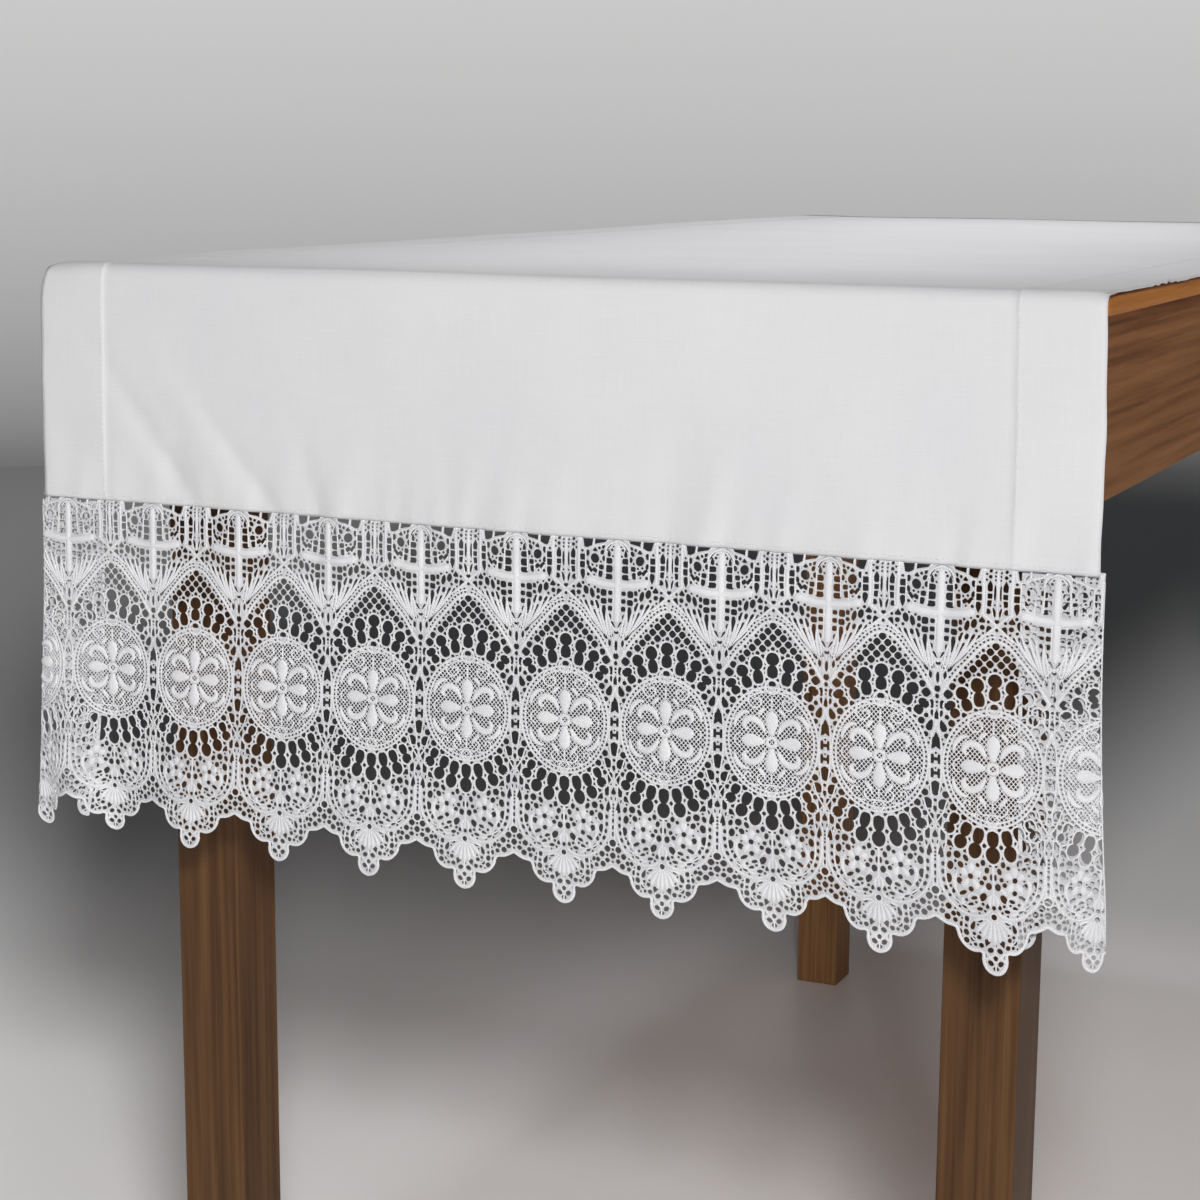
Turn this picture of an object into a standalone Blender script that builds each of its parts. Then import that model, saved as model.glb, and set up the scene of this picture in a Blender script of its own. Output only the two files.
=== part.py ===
"""Altar cloth with a deep lace border, lying over the end of a plain wooden table.

The white cloth covers the table top, turns over the front edge and hangs as a
plain band; a scalloped lace border is sewn along the lower edge of the band.
Cloth and lace are folded under at both sides as a wide hem.

Axes: +X to the right along the front edge, +Y away from the front, +Z up.
Origin: on the floor, under the middle of the whole object.  Unit: metres.
"""
import bpy
import bmesh
import math

# ------------------------------------------------------------------ sizes
REPEAT = 0.0720              # width of one lace repeat, the unit of the pattern
HEIGHT = 13.813 * REPEAT     # floor to the top of the cloth at the front edge
WIDTH = 10.755 * REPEAT      # table top and cloth, side to side
LENGTH = 22.23 * REPEAT      # table top and cloth, front to back

CLOTH_T = 0.0012             # cloth, one thickness
HEM_T = 0.0020               # cloth at its side hems
LACE_T = 0.0012              # lace
REST_GAP = 0.0003            # cloth to board, where it lies
LIFT = 0.0017                # the cloth stands this much higher along the front edge
LIFT_RUN = 0.045             # over this distance behind the bend
BEND_R = 0.0100              # outer radius where the cloth turns down
BAND_DROP = 2.366 * REPEAT   # top of the cloth to the lower edge of the band
BAND_FLARE = 1.010           # the band is this much wider at its lower edge
HEM_W = 0.0540               # width of the side hems
REAR_INSET = 0.0015          # the cloth ends just inside the rear edge of the board

LACE_DROP = 3.519 * REPEAT   # band edge to the tips of the scallops
SEAM_GAP = 0.0006            # lace to band
FOLD_R = 0.0016              # radius of the turn where the lace is folded under
RETURN_W = 0.75              # width of the folded-under lace, in repeats
RETURN_OPEN = 0.007          # the folded-under layer hangs this much away at its foot

BOARD_T = 0.0120             # table board
BOARD_BACK = 0.0047          # board edge behind the face of the band
BOARD_ROUND = 0.0050         # rounding of the board's upper edges
OVERHANG_SIDE = 0.15 * REPEAT
APRON_BOTTOM = 1.854 * REPEAT    # below the top of the cloth
LEG_SIDE = 0.765 * REPEAT    # outer face of a leg in from the side of the board
LEG_FRONT = 1.007 * REPEAT   # front face of a leg behind the face of the band
LEG = 0.746 * REPEAT         # leg section
JOINT_GAP = 0.0003           # between neighbouring pieces of wood
EASE = 0.0015                # eased edges of the wood

LACE_REACH = 0.0172          # the lace hangs this far forward of the band at most

MIDDLE = LACE_REACH / 2      # middle of the table, front to back
FRONT = MIDDLE - LENGTH / 2
REAR = MIDDLE + LENGTH / 2

# Soft folds of the band: a shadow line from (x, drop) at its upper end to (x, drop)
# at its lower end, how deep it is at the foot, and its half width.
#            x_top   drop_top  x_foot   drop_foot  depth    half_width
BAND_FOLDS = (
    (-0.352,  0.045,   -0.262,  0.168,    0.0042,  0.013),
    (-0.318,  0.020,   -0.225,  0.168,   -0.0030,  0.016),
    (-0.262,  0.085,   -0.196,  0.168,    0.0030,  0.011),
    (-0.176,  0.100,   -0.160,  0.168,    0.0022,  0.010),
    (-0.060,  0.095,   -0.050,  0.168,    0.0018,  0.014),
    ( 0.118,  0.070,    0.108,  0.168,    0.0020,  0.016),
    ( 0.262,  0.060,    0.246,  0.168,    0.0022,  0.016),
)

# How the lace hangs at its tips, along the border (place 0 is the first whole
# scallop): sideways shift from even spacing, and how far it swings back.
#          place   shift    back     (in repeats)
LACE_HANG = (
    (-1.12,  0.240,  0.17),
    (-1.00,  0.235,  0.18),
    (-0.50,  0.100, -0.06),
    ( 0.00, -0.040,  0.28),
    ( 1.00, -0.010,  0.03),
    ( 2.00,  0.000,  0.03),
    ( 3.00,  0.010, -0.02),
    ( 4.00,  0.000,  0.02),
    ( 5.00,  0.015,  0.02),
    ( 6.00, -0.010, -0.03),
    ( 7.00,  0.015,  0.08),
    ( 8.00,  0.020, -0.08),
    ( 9.00,  0.080, -0.24),
    ( 9.50, -0.040, -0.06),
    (10.00, -0.245,  0.20),
    (10.12, -0.290,  0.22),
)

# Half of one scallop, from the tip of its tongue to the notch between scallops.
#          aside    above the tip
SCALLOP = (
    (0.0000, 0.0000),
    (0.0058, 0.0024),
    (0.0085, 0.0085),
    (0.0087, 0.0132),
    (0.0150, 0.0134),
    (0.0212, 0.0180),
    (0.0238, 0.0260),
    (0.0320, 0.0284),
    (0.0360, 0.0306),
)
LACE_ROWS = 5                # rows of the lace sheet from heading to tips
FIRST_FOLD, LAST_FOLD = (-0.784, -1.119), (9.860, 10.119)   # fold lines: at heading, at tips


# ------------------------------------------------------------------ helpers
def smooth(t):
    t = min(1.0, max(0.0, t))
    return t * t * (3 - 2 * t)


def between(table, x, column):
    """Smooth interpolation of a table's column at x (first column is x)."""
    if x <= table[0][0]:
        return table[0][column]
    for a, b in zip(table, table[1:]):
        if x <= b[0]:
            return a[column] + (b[column] - a[column]) * smooth((x - a[0]) / (b[0] - a[0]))
    return table[-1][column]


def linear(table, x):
    if x <= table[0][0]:
        return table[0][1]
    for a, b in zip(table, table[1:]):
        if x <= b[0]:
            return a[1] + (b[1] - a[1]) * (x - a[0]) / (b[0] - a[0])
    return table[-1][1]


def material(name, rgb, roughness, metallic=0.0):
    m = bpy.data.materials.new(name)
    m.use_nodes = True
    p = m.node_tree.nodes["Principled BSDF"]
    p.inputs["Base Color"].default_value = (*rgb, 1.0)
    p.inputs["Roughness"].default_value = roughness
    p.inputs["Metallic"].default_value = metallic
    m.diffuse_color = (*rgb, 1.0)
    return m


def new_collection(name):
    c = bpy.data.collections.new(name)
    bpy.context.scene.collection.children.link(c)
    return c


def box(name, low, high, mat, ease=EASE, segments=2):
    """A squared timber between two corners, its edges eased."""
    size = [h - l for l, h in zip(low, high)]
    bpy.ops.mesh.primitive_cube_add(size=1.0, location=[(l + h) / 2 for l, h in zip(low, high)])
    ob = bpy.context.object
    ob.name = ob.data.name = name
    ob.scale = size
    bpy.ops.object.transform_apply(location=False, rotation=False, scale=True)
    mod = ob.modifiers.new("eased edges", "BEVEL")
    mod.width = ease
    mod.segments = segments
    mod.limit_method = "ANGLE"
    place(ob, mat)
    return ob


def place(ob, mat):
    for c in list(ob.users_collection):
        c.objects.unlink(ob)
    PARTS.objects.link(ob)
    ob.data.materials.clear()
    ob.data.materials.append(mat)


def sheet(name, columns, rows, point, mat, thickness, offset, thin=None):
    """A sheet of cloth: a grid bent to point(i, j), thickened by Solidify."""
    me = bpy.data.meshes.new(name)
    bm = bmesh.new()
    bmesh.ops.create_grid(bm, x_segments=columns, y_segments=rows, size=0.5)
    where = {}
    for v in bm.verts:
        i = round((v.co.x + 0.5) * columns)
        j = round((v.co.y + 0.5) * rows)
        where[v] = (i, j)
        v.co = point(i, j)
    order = [where[v] for v in bm.verts]
    bmesh.ops.recalc_face_normals(bm, faces=bm.faces)
    bm.to_mesh(me)
    bm.free()
    ob = bpy.data.objects.new(name, me)
    bpy.context.scene.collection.objects.link(ob)
    mod = ob.modifiers.new("thickness", "SOLIDIFY")
    mod.thickness = thickness
    mod.offset = offset
    mod.use_even_offset = True
    if thin is not None:
        group = ob.vertex_groups.new(name="doubled")
        for k, (i, j) in enumerate(order):
            group.add([k], thin(i, j), "REPLACE")
        mod.vertex_group = "doubled"
    place(ob, mat)
    me.shade_smooth()
    me.set_sharp_from_angle(angle=math.radians(40))
    return ob


# ------------------------------------------------------------------ the cloth
def fold_depth(x, drop):
    """Inward displacement of the band where soft folds run down to its foot."""
    d = 0.0
    for x0, d0, x1, d1, depth, half in BAND_FOLDS:
        t = (drop - d0) / (d1 - d0)
        if t <= -0.3:
            continue
        xc = x0 + (x1 - x0) * t
        d += depth * smooth((t + 0.3) / 1.3) * math.exp(-((x - xc) / half) ** 2)
    return d


def cloth_path():
    """Stations along the cloth from its rear end to the foot of the band."""
    stations = []
    top_end = FRONT + BEND_R
    rear_end = REAR - REAR_INSET
    for t in (0.0, 0.35, 0.70, 0.90):
        stations.append(("top", rear_end + (top_end + LIFT_RUN - rear_end) * t))
    for t in (0.0, 0.34, 0.67):
        stations.append(("top", top_end + LIFT_RUN * (1 - t)))
    for k in range(7):
        stations.append(("bend", math.radians(90) * k / 6))
    for k in range(1, 11):
        stations.append(("drop", BEND_R + (BAND_DROP - BEND_R) * k / 10))
    return stations


STATIONS = cloth_path()
BODY_COLUMNS = 40


def cloth_across():
    """Places across the cloth, -1 to 1, with close pairs where the hems begin."""
    half = WIDTH / 2
    hem = (half - HEM_W) / half
    step = 0.0006 / half
    inner = [-(hem - step) + 2 * (hem - step) * k / BODY_COLUMNS for k in range(BODY_COLUMNS + 1)]
    side = [hem, hem + (1 - hem) * 0.5, 1.0]
    return [-s for s in reversed(side)] + inner + side


ACROSS = cloth_across()


def cloth_point(i, j):
    kind, value = STATIONS[len(STATIONS) - 1 - j]
    s = ACROSS[i]
    x = s * WIDTH / 2
    flat_z = HEIGHT - LIFT
    if kind == "top":
        y = value
        z = flat_z + LIFT * smooth((FRONT + BEND_R + LIFT_RUN - y) / LIFT_RUN)
        return (x, y, z)
    if kind == "bend":
        return (x, FRONT + BEND_R - BEND_R * math.sin(value), HEIGHT - BEND_R + BEND_R * math.cos(value))
    drop = value
    x *= 1 + (BAND_FLARE - 1) * (drop - BEND_R) / (BAND_DROP - BEND_R)
    return (x, FRONT + fold_depth(x, drop), HEIGHT - drop)


def cloth_thickness(i, j):
    hem = (WIDTH / 2 - HEM_W) / (WIDTH / 2)
    return 1.0 if abs(ACROSS[i]) >= hem - 1e-6 else CLOTH_T / HEM_T


# ------------------------------------------------------------------ the lace
def above_tip(place_):
    """Height of the lace's lower edge above the tips, at a place along the border."""
    phase = abs(place_ - round(place_)) * REPEAT
    return linear(SCALLOP, phase)


def lace_across(place_, v):
    """X of the hanging lace at a place along the border, v from heading to tips."""
    pitch = 1.020 + 0.0335 * v ** 2
    start = -4.630 - 0.211 * v ** 1.7
    return REPEAT * (start + pitch * place_ + between(LACE_HANG, place_, 1) * v ** 2.5)


def lace_back(place_, v):
    return REPEAT * between(LACE_HANG, place_, 2) * v ** 2


def lace_columns():
    """Columns of the lace sheet: (kind, value), from the free edge of the left
    return, round the left fold, along the front, round the right fold and back."""
    keys = [a / REPEAT for a, _ in SCALLOP]
    cols = []
    for n in range(-2, 13):
        cols += [n - k for k in reversed(keys[1:-1])] + [float(n)] + [n + k for k in keys[1:]]
    cols = sorted(set(round(c, 5) for c in cols))
    first, last = FIRST_FOLD[1], LAST_FOLD[1]
    inner_first, inner_last = -0.70, 9.70
    out = []
    left_return = [first - c for c in cols if first - RETURN_W < c < first - 0.03]
    out += [("return", -1, RETURN_W)] + [("return", -1, t) for t in sorted(left_return, reverse=True)
                                         if t < RETURN_W - 0.01]
    out += [("turn", -1, a) for a in (180, 135, 90, 45)]
    out += [("end", -1, (c - inner_first) / (first - inner_first)) for c in cols
            if first + 0.02 < c < inner_first - 0.01]
    out += [("front", 0, c) for c in [inner_first] + [c for c in cols if inner_first + 0.01 < c < inner_last - 0.01]
            + [inner_last]]
    out += [("end", 1, (c - inner_last) / (last - inner_last)) for c in cols
            if inner_last + 0.01 < c < last - 0.02]
    out += [("turn", 1, a) for a in (45, 90, 135, 180)]
    right_return = [c - last for c in cols if last + 0.03 < c < last + RETURN_W]
    out += [("return", 1, t) for t in sorted(right_return) if t < RETURN_W - 0.01] + [("return", 1, RETURN_W)]
    return out


LACE_COLUMNS = lace_columns()


def fold_place(side, v):
    a, b = FIRST_FOLD if side < 0 else LAST_FOLD
    return a + (b - a) * v ** 2.2


def lace_point(i, j):
    kind, side, value = LACE_COLUMNS[i]
    first_inner = -0.70 if side < 0 else 9.70
    end_at_tip = FIRST_FOLD[1] if side < 0 else LAST_FOLD[1]
    if kind == "front":
        at_tip = value
    elif kind == "end":
        at_tip = first_inner + (end_at_tip - first_inner) * value
    elif kind == "turn":
        at_tip = end_at_tip
    else:
        at_tip = end_at_tip + side * value
    depth = (LACE_DROP - above_tip(at_tip)) * (1 - j / LACE_ROWS)
    v = depth / LACE_DROP
    y0 = FRONT + LACE_T / 2
    z = HEIGHT - BAND_DROP - SEAM_GAP - depth
    if kind == "front":
        return (lace_across(value, v), y0 + lace_back(value, v), z)
    fold = fold_place(side, v)
    if kind == "end":
        here = first_inner + (fold - first_inner) * value
        return (lace_across(here, v), y0 + lace_back(here, v), z)
    turn_x = lace_across(fold, v) - side * FOLD_R * 0.5
    turn_y = y0 + lace_back(fold, v) + FOLD_R
    if kind == "turn":
        a = math.radians(value)
        return (turn_x + side * FOLD_R * math.sin(a), turn_y - FOLD_R * math.cos(a), z)
    mirror = fold - side * value
    x = turn_x - side * REPEAT * value
    opening = RETURN_OPEN * v ** 1.5 * smooth(value / RETURN_W)
    return (x, y0 + lace_back(mirror, v) + 2 * FOLD_R + opening, z)


# ------------------------------------------------------------------ build
for old in list(bpy.data.objects):
    bpy.data.objects.remove(old, do_unlink=True)

PARTS = new_collection("altar_frontal")

linen = material("white linen", (0.78, 0.78, 0.79), 0.9)
cotton_lace = material("white cotton lace", (0.83, 0.83, 0.82), 0.9)
wood_board = material("table top wood", (0.46, 0.17, 0.05), 0.45)
wood_frame = material("table frame wood", (0.22, 0.11, 0.045), 0.5)
wood_leg = material("table leg wood", (0.17, 0.075, 0.025), 0.5)

cloth = sheet("altar_cloth", len(ACROSS) - 1, len(STATIONS) - 1, cloth_point, linen,
              HEM_T, -1.0, thin=cloth_thickness)
lace = sheet("lace_border", len(LACE_COLUMNS) - 1, LACE_ROWS, lace_point, cotton_lace,
             LACE_T, 0.0)

# table board, its upper edges rounded so that the cloth turns softly over them
board_top = HEIGHT - LIFT - HEM_T - REST_GAP
board = box("table_top", (-WIDTH / 2, FRONT + BOARD_BACK, board_top - BOARD_T),
            (WIDTH / 2, REAR, board_top), wood_board, ease=BOARD_ROUND, segments=3)

# frame rails under the board, just inside its edge, and square legs inside the rails
under = board_top - BOARD_T - JOINT_GAP
rail_foot = HEIGHT - APRON_BOTTOM
side_out = WIDTH / 2 - OVERHANG_SIDE
leg_x = WIDTH / 2 - LEG_SIDE
leg_y = LENGTH / 2 - LEG_FRONT
rail_t = side_out - leg_x - JOINT_GAP
for side, name in ((-1, "left"), (1, "right")):
    xs = sorted((side * side_out, side * (side_out - rail_t)))
    box("side_rail_" + name, (xs[0], MIDDLE - leg_y - rail_t, rail_foot),
        (xs[1], MIDDLE + leg_y + rail_t, under), wood_frame)
for side, name in ((-1, "front"), (1, "rear")):
    ys = sorted((side * (leg_y + JOINT_GAP), side * (leg_y + rail_t)))
    half = side_out - rail_t - JOINT_GAP
    box("end_rail_" + name, (-half, MIDDLE + ys[0], rail_foot), (half, MIDDLE + ys[1], under), wood_frame)
for sy, yn in ((-1, "front"), (1, "rear")):
    for sx, xn in ((-1, "left"), (1, "right")):
        x0, x1 = sorted((sx * leg_x, sx * (leg_x - LEG)))
        y0, y1 = sorted((sy * leg_y, sy * (leg_y - LEG)))
        box("leg_%s_%s" % (yn, xn), (x0, MIDDLE + y0, 0.0), (x1, MIDDLE + y1, under), wood_leg)
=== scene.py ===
import bmesh
import bpy
import math
import numpy as np
from mathutils import Matrix, Vector
from mathutils.geometry import delaunay_2d_cdt
from mathutils.kdtree import KDTree


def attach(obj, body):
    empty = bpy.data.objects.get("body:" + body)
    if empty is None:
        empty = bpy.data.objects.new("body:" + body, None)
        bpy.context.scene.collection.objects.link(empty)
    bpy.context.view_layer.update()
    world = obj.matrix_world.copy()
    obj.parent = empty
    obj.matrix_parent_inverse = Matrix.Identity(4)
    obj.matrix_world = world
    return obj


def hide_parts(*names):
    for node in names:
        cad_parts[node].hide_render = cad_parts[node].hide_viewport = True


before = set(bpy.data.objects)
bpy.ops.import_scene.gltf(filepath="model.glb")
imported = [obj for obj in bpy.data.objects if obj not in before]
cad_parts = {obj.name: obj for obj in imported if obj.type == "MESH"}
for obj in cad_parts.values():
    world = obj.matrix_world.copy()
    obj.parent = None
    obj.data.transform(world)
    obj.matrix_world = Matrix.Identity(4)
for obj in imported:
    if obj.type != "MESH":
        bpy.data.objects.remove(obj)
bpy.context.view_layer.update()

# ---------------------------------------------------------------- sizes (metres)
P = 0.0720                       # one lace repeat
HEIGHT = 13.813 * P
WIDTH = 10.755 * P
LENGTH = 22.23 * P
HALF = WIDTH / 2
BEND_R = 0.0100
BAND_DROP = 2.366 * P
BAND_FLARE = 1.010
LIFT, LIFT_RUN = 0.0017, 0.045
HEM_W = 0.0540
LACE_DROP = 3.519 * P
SEAM_GAP = 0.0006
MIDDLE = 0.0086
FRONT = MIDDLE - LENGTH / 2
REAR = MIDDLE + LENGTH / 2
FOLD_R = 0.0016
RETURN_W = 0.69
RETURN_OPEN = 0.0035
LACE_T = 0.0012
LACE_TOP = HEIGHT - BAND_DROP - SEAM_GAP
FIRST_FOLD, LAST_FOLD = (-0.784, -1.119), (9.860, 10.119)

# ---------------------------------------------------------------- camera
F_PX, PITCH, ROLL, YAW = 2461.99, 0.181, -0.006, -0.432
eye = Vector((10.122 * P, FRONT - 20.198 * P, HEIGHT + 1.129 * P))
cp, sp, cy, sy = math.cos(PITCH), math.sin(PITCH), math.cos(YAW), math.sin(YAW)
forward = Vector((sy * cp, cy * cp, -sp))
right0 = Vector((cy, -sy, 0.0))
up0 = Vector((sy * sp, cy * sp, cp))
cr, sr = math.cos(ROLL), math.sin(ROLL)
right = right0 * cr - up0 * sr
up = right0 * sr + up0 * cr
cam_data = bpy.data.cameras.new("camera")
cam_data.sensor_width = 36.0
cam_data.lens = F_PX * 36.0 / 1200.0
cam_data.clip_start, cam_data.clip_end = 0.05, 60.0
cam = bpy.data.objects.new("camera", cam_data)
bpy.context.scene.collection.objects.link(cam)
rot = Matrix((right, up, -forward)).transposed()
cam.matrix_world = Matrix.Translation(eye) @ rot.to_4x4()
bpy.context.scene.camera = cam


# ---------------------------------------------------------------- materials
def new_material(name):
    m = bpy.data.materials.new(name)
    m.use_nodes = True
    nt = m.node_tree
    return m, nt, nt.nodes["Principled BSDF"]


def node(nt, kind, **inputs):
    n = nt.nodes.new(kind)
    for k, v in inputs.items():
        if k in n.inputs:
            n.inputs[k].default_value = v
        else:
            setattr(n, k, v)
    return n


def link(nt, a, out, b, inp):
    nt.links.new(a.outputs[out], b.inputs[inp])


def coords(nt, scale=(1, 1, 1), kind="Object", rotation=(0, 0, 0)):
    tc = nt.nodes.new("ShaderNodeTexCoord")
    mp = nt.nodes.new("ShaderNodeMapping")
    mp.inputs["Scale"].default_value = scale
    mp.inputs["Rotation"].default_value = rotation
    nt.links.new(tc.outputs[kind], mp.inputs["Vector"])
    return mp


def ramp(nt, fac_node, fac_out, stops):
    r = nt.nodes.new("ShaderNodeValToRGB")
    els = r.color_ramp.elements
    while len(els) < len(stops):
        els.new(0.5)
    for e, (pos, col) in zip(els, stops):
        e.position = pos
        e.color = (*col, 1.0)
    nt.links.new(fac_node.outputs[fac_out], r.inputs["Fac"])
    return r


def srgb(r, g, b):
    def f(c):
        c /= 255.0
        return c / 12.92 if c <= 0.04045 else ((c + 0.055) / 1.055) ** 2.4
    return (f(r), f(g), f(b))


def linen_material():
    m, nt, bsdf = new_material("white linen weave")
    # warp and weft as two fine waves, slubs as stretched noise
    warp = node(nt, "ShaderNodeTexWave", Scale=1.0, Distortion=0.6, Detail=1.0)
    warp.wave_type, warp.bands_direction = "BANDS", "X"
    weft = node(nt, "ShaderNodeTexWave", Scale=1.0, Distortion=0.6, Detail=1.0)
    weft.wave_type, weft.bands_direction = "BANDS", "X"
    uv1 = coords(nt, (160, 0, 0), "UV")
    uv2 = coords(nt, (0, 160, 0), "UV", (0, 0, 0))
    sw = node(nt, "ShaderNodeVectorMath")
    sw.operation = "CROSS_PRODUCT"
    sw.inputs[1].default_value = (0, 0, 1)
    link(nt, uv2, "Vector", sw, 0)
    link(nt, uv1, "Vector", warp, "Vector")
    link(nt, sw, "Vector", weft, "Vector")
    mul = node(nt, "ShaderNodeMath")
    mul.operation = "ADD"
    link(nt, warp, "Fac", mul, 0)
    link(nt, weft, "Fac", mul, 1)
    slub_a = node(nt, "ShaderNodeTexNoise", Scale=1.0, Detail=3.0, Roughness=0.6)
    slub_b = node(nt, "ShaderNodeTexNoise", Scale=1.0, Detail=3.0, Roughness=0.6)
    link(nt, coords(nt, (900, 28, 1), "UV"), "Vector", slub_a, "Vector")
    link(nt, coords(nt, (26, 900, 1), "UV"), "Vector", slub_b, "Vector")
    slub = node(nt, "ShaderNodeMath")
    slub.operation = "ADD"
    link(nt, slub_a, "Fac", slub, 0)
    link(nt, slub_b, "Fac", slub, 1)
    cloudy = node(nt, "ShaderNodeTexNoise", Scale=7.0, Detail=3.0, Roughness=0.55)
    link(nt, coords(nt, (1, 1, 1), "Object"), "Vector", cloudy, "Vector")
    col1 = ramp(nt, slub, "Value", [(0.70, srgb(238, 238, 239)), (1.0, srgb(240, 240, 241)), (1.35, srgb(242, 242, 243))])
    half = node(nt, "ShaderNodeMath")
    half.operation = "MULTIPLY"
    half.inputs[1].default_value = 0.5
    link(nt, slub, "Value", half, 0)
    nt.links.new(half.outputs[0], col1.inputs["Fac"])
    col1.color_ramp.elements[0].position = 0.36
    col1.color_ramp.elements[1].position = 0.50
    col1.color_ramp.elements[2].position = 0.66
    col2 = ramp(nt, cloudy, "Fac", [(0.30, srgb(240, 240, 242)), (0.70, srgb(248, 248, 247))])
    mix = node(nt, "ShaderNodeMix")
    mix.data_type, mix.blend_type = "RGBA", "MULTIPLY"
    mix.inputs["Factor"].default_value = 0.8
    nt.links.new(col1.outputs["Color"], mix.inputs[6])
    nt.links.new(col2.outputs["Color"], mix.inputs[7])
    nt.links.new(mix.outputs[2], bsdf.inputs["Base Color"])
    rough = ramp(nt, slub_a, "Fac", [(0.3, (0.74,) * 3), (0.7, (0.90,) * 3)])
    nt.links.new(rough.outputs["Color"], bsdf.inputs["Roughness"])
    b1 = node(nt, "ShaderNodeBump", Strength=0.25, Distance=0.00006)
    link(nt, mul, "Value", b1, "Height")
    b2 = node(nt, "ShaderNodeBump", Strength=0.22, Distance=0.00010)
    link(nt, slub, "Value", b2, "Height")
    nt.links.new(b1.outputs["Normal"], b2.inputs["Normal"])
    nt.links.new(b2.outputs["Normal"], bsdf.inputs["Normal"])
    bsdf.inputs["Sheen Weight"].default_value = 0.25
    bsdf.inputs["Sheen Roughness"].default_value = 0.5
    bsdf.inputs["Specular IOR Level"].default_value = 0.3
    bsdf.inputs["Subsurface Weight"].default_value = 0.0
    return m


def wood_material(name, dark, mid, light, axis, rough=(0.38, 0.50), shift=0.0):
    """Varnished fine-grained wood, grain along one axis (0, 1 or 2) of the table."""
    m, nt, bsdf = new_material(name)

    def grain(across, along, detail, roughness, distortion=0.0):
        s_ = [across] * 3
        s_[axis] = along
        mp = coords(nt, tuple(s_))
        mp.inputs["Location"].default_value = (shift, shift * 1.7, shift * 2.3)
        n = node(nt, "ShaderNodeTexNoise", Scale=1.0, Detail=detail, Roughness=roughness, Distortion=distortion)
        link(nt, mp, "Vector", n, "Vector")
        return n

    broad = grain(11.0, 0.9, 3.0, 0.5, 1.2)       # cathedral figure
    fine = grain(170.0, 3.2, 3.0, 0.6)            # fibres
    pores = grain(620.0, 16.0, 2.0, 0.6)          # short pores
    tone = grain(3.0, 0.8, 2.0, 0.5)
    figure = node(nt, "ShaderNodeMath")
    figure.operation = "MULTIPLY"
    figure.inputs[1].default_value = 34.0
    link(nt, broad, "Fac", figure, 0)
    wave = node(nt, "ShaderNodeMath")
    wave.operation = "SINE"
    link(nt, figure, "Value", wave, 0)
    mixv = node(nt, "ShaderNodeMath")
    mixv.operation = "MULTIPLY_ADD"
    mixv.inputs[1].default_value = 0.055
    link(nt, wave, "Value", mixv, 0)
    link(nt, fine, "Fac", mixv, 2)
    col = ramp(nt, mixv, "Value", [(0.30, dark), (0.50, mid), (0.72, light)])
    shade = ramp(nt, tone, "Fac", [(0.30, (0.78, 0.76, 0.74)), (0.70, (1.0, 1.0, 1.0))])
    mix = node(nt, "ShaderNodeMix")
    mix.data_type, mix.blend_type = "RGBA", "MULTIPLY"
    mix.inputs["Factor"].default_value = 0.8
    nt.links.new(col.outputs["Color"], mix.inputs[6])
    nt.links.new(shade.outputs["Color"], mix.inputs[7])
    pore = ramp(nt, pores, "Fac", [(0.30, (0.80, 0.77, 0.74)), (0.40, (1.0, 1.0, 1.0))])
    mix2 = node(nt, "ShaderNodeMix")
    mix2.data_type, mix2.blend_type = "RGBA", "MULTIPLY"
    mix2.inputs["Factor"].default_value = 0.6
    nt.links.new(mix.outputs[2], mix2.inputs[6])
    nt.links.new(pore.outputs["Color"], mix2.inputs[7])
    nt.links.new(mix2.outputs[2], bsdf.inputs["Base Color"])
    rr = ramp(nt, fine, "Fac", [(0.3, (rough[0],) * 3), (0.7, (rough[1],) * 3)])
    nt.links.new(rr.outputs["Color"], bsdf.inputs["Roughness"])
    b = node(nt, "ShaderNodeBump", Strength=0.15, Distance=0.0002)
    link(nt, pores, "Fac", b, "Height")
    nt.links.new(b.outputs["Normal"], bsdf.inputs["Normal"])
    bsdf.inputs["Specular IOR Level"].default_value = 0.22
    bsdf.inputs["Coat Weight"].default_value = 0.04
    bsdf.inputs["Coat Roughness"].default_value = 0.35
    return m


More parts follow.
